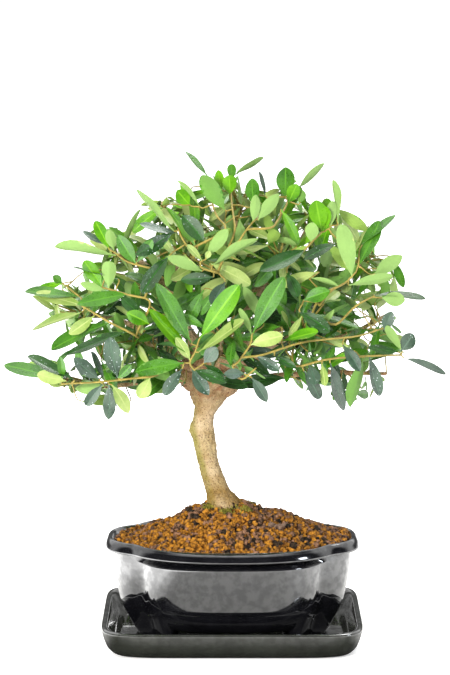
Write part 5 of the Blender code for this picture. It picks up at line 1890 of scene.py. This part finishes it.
def single_leaf(root, axis, face, length, ages, dice):
    """Record of a leaf that grows on a stalk of its own."""
    return {"root": root, "axis": axis, "face": face, "length": length,
            "width": length / LEAF_SLENDERNESS * dice.uniform(*SINGLE_WIDTH),
            "bend": dice.uniform(*LEAF_BEND), "age": dice.uniform(*ages)}


def thin_stalk(near, root, axis):
    """Stalk from the wood to a leaf's root; None where they all but touch."""
    if (root - near).length <= STALK_FROM:
        return None
    return bend_path(near, (root - near).normalized(), root, axis, 4)


def plant(tried):
    """Keep a leaf, and its stalk, where it fits; True where it does."""
    search = leaf_tree(tried[0], anywhere, grown) if tried else None
    if search is None:
        return False
    leaf, stalk = tried
    keep_leaf(leaf, search, grown)
    if stalk:
        grown["twigs"].append((stalk, fading(*STALK_RADII, len(stalk))))
    return True


def covering_leaf(x, y, depth, length, dice):
    """Leaf over a pixel at a depth, and the stalk that bears it; None where no wood is near."""
    middle = at_depth(x, y, front_depth(x, y, depth))
    near = nearest_wood(middle, False)
    reach = (middle - near).length
    if reach > COVER_REACH:
        return None
    away = (middle - near).normalized() if reach > 0.001 else Vector((0.0, 0.0, 1.0))
    loose = Vector((dice.gauss(0, 1), dice.gauss(0, 0.5), dice.gauss(0, 1))).normalized()
    axis = away.lerp(loose, dice.uniform(0.25, 0.75)).normalized()
    toward = (CAMERA_PLACE - middle).normalized()
    axis = (axis - toward * axis.dot(toward) * dice.uniform(0.2, 0.9)).normalized()
    face = toward.lerp(Vector((dice.gauss(0, 1), dice.gauss(0, 1), 1.0)).normalized(), 0.35)
    face = (face - axis * face.dot(axis)).normalized() * (1.0 if dice.random() < 0.8 else -1.0)
    root = middle - axis * length * 0.5
    leaf = single_leaf(root, axis, face, length, (0.3, 0.9), dice)
    near = nearest_wood(root, False)
    if (root - near).length >= COVER_REACH * STALK_REACH:
        return None
    return leaf, thin_stalk(near, root, axis)


# %% Close the open places
anywhere = (CROWN_MIDDLE, (0.4, 0.4, 0.4), ())
closing = 0
for y in range(COVER_TOP, COVER_BOTTOM, COVER_STEP):
    for x in range(COVER_LEFT, COVER_RIGHT, COVER_STEP):
        spot = (x + dice.uniform(-COVER_JITTER, COVER_JITTER),
                y + dice.uniform(-COVER_JITTER, COVER_JITTER))
        if not inside_edge(np.array([spot])) or is_covered(*spot):
            continue
        for attempt in range(2 * len(COVER_DEPTHS)):
            tried = covering_leaf(*spot, COVER_DEPTHS[attempt % len(COVER_DEPTHS)],
                                  dice.uniform(*COVER_LEAF) * (1.0 - 0.03 * attempt), dice)
            if plant(tried):
                wood += (tried[1] or [])[1:]
                covers = np.vstack([covers, cover_row(tried[0])])
                closing += 1
                break
print("leaves that close open places:", closing, "of", len(grown["leaves"]))

# %% [markdown]
# The picture tells nothing about the sides and the back, and a real crown is full there too. So
# the dome is walked over once more, in space this time, and where no leaf is near, single leaves
# fill the hollow, each on its own stalk from the nearest wood and turned to the sky.

# %% Fill the hollows
HOLLOW_STEP = 0.0155
HOLLOW_ROOM = 0.0120
HOLLOW_SHELL = (0.38, 0.94)
HOLLOW_TRIES = 5
HOLLOW_START = (-0.175, -0.040, 0.186)
HOLLOW_COUNTS = (23, 11, 13)
HOLLOW_JITTER = 0.005


def hollow_leaf(middle, length, dice):
    """Leaf about a point in the crown, and the stalk that bears it; None where no wood is near."""
    out = (middle - CROWN_MIDDLE).normalized()
    near, _, _ = wood_tree.find(middle - out * length * 0.5)
    loose = Vector((dice.gauss(0, 1), dice.gauss(0, 1), dice.gauss(0, 1))).normalized()
    axis = (out * 0.6 + (middle - near).normalized() * 0.5 + loose * 0.7).normalized()
    face = out * 0.4 + Vector((dice.gauss(0, 0.5), dice.gauss(0, 0.5), 0.9))
    face = (face - axis * face.dot(axis)).normalized()
    root = middle - axis * length * 0.5
    near, _, gap = wood_tree.find(root)
    if gap > COVER_REACH * STALK_REACH:
        return None
    return single_leaf(root, axis, face, length, (0.2, 0.9), dice), thin_stalk(near, root, axis)


wood_tree = KDTree(len(wood))
for index, point in enumerate(wood):
    wood_tree.insert(point, index)
wood_tree.balance()
middles = np.array([tuple(middle) for middle in grown["middles"]])
filling = 0
columns, rows, levels = HOLLOW_COUNTS
for level, row, column in itertools.product(range(levels), range(rows), range(columns)):
    spot = Vector([corner + step * HOLLOW_STEP
                   for corner, step in zip(HOLLOW_START, (column, row, level))])
    spot += Vector([dice.uniform(-1, 1) for _ in range(3)]) * HOLLOW_JITTER
    if not HOLLOW_SHELL[0] < dome_share(spot) < HOLLOW_SHELL[1]:
        continue
    if np.linalg.norm(middles - np.array(tuple(spot)), axis=1).min() < HOLLOW_ROOM:
        continue
    for attempt in range(HOLLOW_TRIES):
        if plant(hollow_leaf(spot, dice.uniform(*COVER_LEAF) * (1.0 - 0.05 * attempt), dice)):
            middles = np.vstack([middles, tuple(grown["middles"][-1])])
            filling += 1
            break
print("leaves that fill hollows:", filling, "of", len(grown["leaves"]))

# %% [markdown]
# ## Colour by spray
# A young olive leaf is bright, and it darkens and turns bluish as it ages. So the rule deals out
# five kinds: the score rises with youth, height and nearness to the outside of the crown. Light and
# shade are painted into the kinds as well: the score rises again for the lowest sprays, as painted
# light from below, and falls in the middle of the front, as painted shade behind the sprays that
# lean out. Whole sprays share their place, so they share their colour too, as on the tree.

# %% Kinds of leaf
KINDS = ("n", "y", "g", "d", "b")
KIND_LIMITS = (("n", 1.36), ("y", 1.11), ("g", 0.75), ("d", 0.42))
SHADED_MIDDLE = (-0.006, 0.272, 0.055)
LEAST_SCORE = 0.16
HEIGHT_SCORE = 0.44
OUTSIDE_SCORE = 0.82
YOUNG_SCORE = 0.40
SPRAY_SCORE = 0.30
LUCK_SCORE = 0.13
LIGHT_FROM_BELOW_SCORE = 0.16
SHADED_SCORE = 0.30
by_kind = {kind: [] for kind in KINDS}
dice = random.Random(33)
for leaf in grown["leaves"]:
    if "kind" not in leaf:
        middle = leaf_middle(leaf)
        score = LEAST_SCORE + HEIGHT_SCORE * smooth_step(0.19, 0.37, middle.z)
        score = score + OUTSIDE_SCORE * dome_share(middle) + YOUNG_SCORE * (1.0 - leaf["age"])
        score += SPRAY_SCORE * noise.noise(middle * 22.0) + dice.gauss(0.0, LUCK_SCORE)
        # Painted light: brighter kinds for the lowest sprays, which the light reaches from below.
        score += LIGHT_FROM_BELOW_SCORE * smooth_step(0.240, 0.205, middle.z)
        # Painted shade: darker kinds in the middle of the front, behind the sprays that lean out.
        x, z, reach = SHADED_MIDDLE
        shaded = math.exp(-(math.hypot(middle.x - x, middle.z - z) / reach) ** 2)
        score -= SHADED_SCORE * shaded * smooth_step(0.040, -0.020, middle.y)
        leaf["kind"] = next((kind for kind, limit in KIND_LIMITS if score > limit), "b")
    by_kind[leaf["kind"]].append(leaf)
print({kind: len(leaves) for kind, leaves in by_kind.items()})

# %% [markdown]
# ## Leaf blade
# An olive leaf is a narrow oval on a short stalk, folded a little along its midrib, arched, and
# sometimes slightly wavy or curved to one side. Planes with a cut-out picture would be cheaper,
# but they look flat from the side, so each blade is a small mesh: an upper and a lower sheet that
# meet at the edge, with a narrow strip for the midrib. All leaves of a kind are filled in one go.

# %% Blade values
BLADE_ROWS = np.array([0.0, 0.05, 0.09, 0.15, 0.24, 0.36, 0.49, 0.62, 0.74, 0.85, 0.93, 0.98, 1.0])
BLADE_START = 0.06
BLADE_COLUMNS = np.array([-1.0, -0.55, -0.09, 0.09, 0.55, 1.0])
BLADE_THICKNESS = 0.00035
STALK_HALF_WIDTH = 0.0006
# Ranges that each leaf's own fold, wave, sickle, twist and tip are drawn from
BLADE_FOLD = (0.05, 0.42)
BLADE_WAVE = (0.0, 0.016)
BLADE_SICKLE = (-0.05, 0.05)
BLADE_TWIST = (-0.35, 0.35)
BLADE_POINT = (0.50, 0.80)


# %% Blade arrays
def blade_half_widths(width, point):
    """Half width of each leaf at each row; a low point gives a blunt tip."""
    share = np.clip((BLADE_ROWS - BLADE_START) / (1.0 - BLADE_START), 0.0, 1.0)[None, :]
    oval = share ** 0.85 * (1.0 - share) ** point[:, None]
    oval = oval / oval.max(axis=1, keepdims=True)
    half = width[:, None] / 2 * oval
    return np.maximum(half, STALK_HALF_WIDTH * (BLADE_ROWS < 0.9) + 0.00004)


def blade_piece(name, leaves, finishes):
    """One joined piece of leaves; faces take the upper, midrib or under finish."""
    dice = np.random.RandomState(len(leaves))
    count = len(leaves)

    def deal(low, high):
        return dice.uniform(low, high, count)[:, None, None]

    def column(key):
        return np.array([leaf[key] for leaf in leaves])[:, None, None]

    root, axis, face = (np.array([tuple(leaf[key]) for leaf in leaves])[:, None, None, :]
                        for key in ("root", "axis", "face"))
    side = np.cross(face, axis)
    length, bend = column("length"), column("bend")
    fold = deal(*BLADE_FOLD)
    wave = deal(*BLADE_WAVE) * length
    sickle = deal(*BLADE_SICKLE) * length
    phase = deal(0.0, 6.28)
    twist = deal(*BLADE_TWIST)
    t = BLADE_ROWS[None, :, None]
    v = BLADE_COLUMNS[None, None, :]
    half = blade_half_widths(column("width")[:, 0, 0], deal(*BLADE_POINT)[:, 0, 0])[:, :, None]
    across = half * v + sickle * t * (1.0 - t) * 4.0 * 0.5
    rise = fold * half * np.abs(v) + twist * half * v * t - bend * length * t * t
    rise = rise + wave * np.sin(phase + 9.0 * t) * v * v
    along = length * t + 0.0 * v
    thick = BLADE_THICKNESS * (1.0 - v * v) * (0.3 + 0.7 * np.minimum(1.0, half / 0.003))
    groove = np.where(np.abs(v) < 0.2, 0.00012, 0.0) * (t > 0.05)
    upper, lower = rise + thick / 2 - groove, rise - thick / 2 - groove

    def place(lift):
        return (root + axis * along[..., None] + side * across[..., None]
                + face * lift[..., None])

    sheets = np.stack([place(upper), place(lower)], axis=1)
    rows, columns = len(BLADE_ROWS), len(BLADE_COLUMNS)
    faces, slots = [], []
    for sheet in (0, 1):
        for row in range(rows - 1):
            for column in range(columns - 1):
                a = sheet * rows * columns + row * columns + column
                quad = (a, a + columns, a + columns + 1, a + 1)
                faces.append(quad if sheet else quad[::-1])
                slots.append(1 if column == 2 and not sheet else 2 * sheet)
    stride = 2 * rows * columns
    every = (np.array(faces)[None] + stride * np.arange(count)[:, None, None]).reshape(-1, 4)
    return filled_mesh(name, sheets.reshape(-1, 3), every, finishes, np.tile(slots, count))


# %% [markdown]
# ## Leaf finishes
# The upper side is leathery and waxy, so it takes soft highlights; the underside is pale and matt
# with fine scales. The midrib shows as a pale line. Old leaves carry water drops from the last
# watering, whose glints are painted as pale dots, and a faint pale bloom that is partly real wax
# and partly painted sheen.

# %% Leaf finish
def leaf_finish(name, dark, light, roughness, drop_glints=0.0, matt=False, bloom_and_sheen=0.0):
    """Leaf: two greens in soft clouds, fine veins and, on old leaves, painted drop glints and sheen.
    """
    material, tree, shader = start_finish(name, IOR=1.38 if matt else 1.5)
    greens = use_group(tree, mottle, Scale=48.0, Dark=dark, Light=light, Softness=0.26)
    veins = use_group(tree, mottle, Scale=640.0, Softness=0.25)
    veined = tint(tree, range_of(tree, veins["Mask"], 0.0, 0.22), greens["Colour"],
                  lighter(light, 1.25, 0.01))
    # A pale tint in clouds: partly real wax bloom, partly painted sheen.
    wax_and_sheen = use_group(tree, mottle, Scale=70.0, Softness=0.20)
    waxed_and_sheened = tint(tree, range_of(tree, wax_and_sheen["Mask"], 0.0, bloom_and_sheen), veined, paint(168, 190, 160))
    # Pale dots where water drops sit: painted glints.
    glint_beads = use_group(tree, specks, Scale=420.0, Size=0.20, Patchiness=0.54)
    shown = range_of(tree, glint_beads["Mask"], 0.0, drop_glints)
    wire(tree, shader.inputs["Base Color"], tint(tree, shown, waxed_and_sheened, paint(206, 220, 220)))
    wire(tree, shader.inputs["Roughness"],
         range_of(tree, veins["Mask"], roughness, roughness + 0.12))
    relief(tree, shader, veins["Mask"], depth=0.0003, strength=0.5)
    return material


# Name of the piece, dark and light green, roughness, painted water-drop glints, and the underside's
# green
LEAF_COLOURS = {
    "n": ("leaves_new", paint(10, 86, 0), paint(104, 162, 14), 0.25, 0.0, paint(120, 148, 66)),
    "y": ("leaves_bright", paint(84, 122, 24), paint(164, 178, 106), 0.30, 0.0,
          paint(114, 144, 78)),
    "g": ("leaves_mid", paint(6, 58, 0), paint(74, 130, 24), 0.24, 0.08, paint(88, 126, 54)),
    "d": ("leaves_dark", paint(0, 22, 0), paint(30, 78, 14), 0.18, 0.36, paint(66, 108, 52)),
    "b": ("leaves_blue", paint(2, 20, 12), paint(52, 80, 62), 0.18, 0.55, paint(92, 118, 84)),
}
for kind, (name, dark, light, roughness, drop_glints, pale) in LEAF_COLOURS.items():
    rib = tuple(0.80 * a + 0.20 * b for a, b in zip(light, pale))
    finishes = [leaf_finish(name + " upper", dark, light, roughness, drop_glints, bloom_and_sheen=0.22 * drop_glints),
                leaf_finish(name + " midrib", light, rib, roughness + 0.1),
                leaf_finish(name + " under", pale, lighter(pale, 1.25), 0.62, matt=True)]
    piece = blade_piece(name, by_kind[kind], finishes)
    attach(piece, "root")
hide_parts(*["foliage_" + name for name in MASSES])

# %% [markdown]
# ## Twigs
# The stems that carry on the boughs wear the same bark; the shoots and leading twigs are this
# year's growth, golden and smooth. Both are joined tubes: twelve sides for the stems and six for
# the shoots, which are only one or two millimetres thick.

# %% Twigs
TWIG_SIDES = 6
young_twig, tree, shader = start_finish("young twig", IOR=1.4)
tones = use_group(tree, mottle, Scale=140.0, Dark=paint(108, 98, 40), Light=paint(166, 148, 76),
                  Softness=0.2)
marks = use_group(tree, specks, Scale=900.0, Size=0.24, Patchiness=0.5)
wire(tree, shader.inputs["Base Color"],
     tint(tree, range_of(tree, marks["Mask"], 0.0, 0.5), tones["Colour"], paint(122, 88, 48)))
wire(tree, shader.inputs["Roughness"], range_of(tree, tones["Mask"], 0.5, 0.7))
relief(tree, shader, marks["Mask"], depth=0.0002, strength=0.6)
stem_list = [stems[name] for name in MASSES]
stem_tubes = [(smooth_row(path, 3), fading(radii[0], radii[-1], 3 * (len(path) - 1) + 1))
              for path, radii in stem_list]
young_tubes = [twig for twig in grown["twigs"] if not any(twig is stem for stem in stem_list)]
old_twigs = filled_mesh("twigs_old", *tube_arrays(stem_tubes, 2 * TWIG_SIDES), [bark])
young_twigs = filled_mesh("twigs_young", *tube_arrays(young_tubes, TWIG_SIDES), [young_twig])
for piece in (old_twigs, young_twigs):
    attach(piece, "root")
print("twigs:", len(stem_tubes), "stems and", len(young_tubes), "shoots")

# %% [markdown]
# ## Size and end
# Both boxes are printed: the imported model's and the dressed tree's. The dressed tree has to stay
# the size of the imported one.

# %% Size
dressed_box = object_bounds()
sizes = {"cad": [list(map(float, corner)) for corner in cad_box],
         "visual": [list(map(float, corner)) for corner in dressed_box]}
print("packed box", sizes["cad"])
print("dressed box", sizes["visual"])
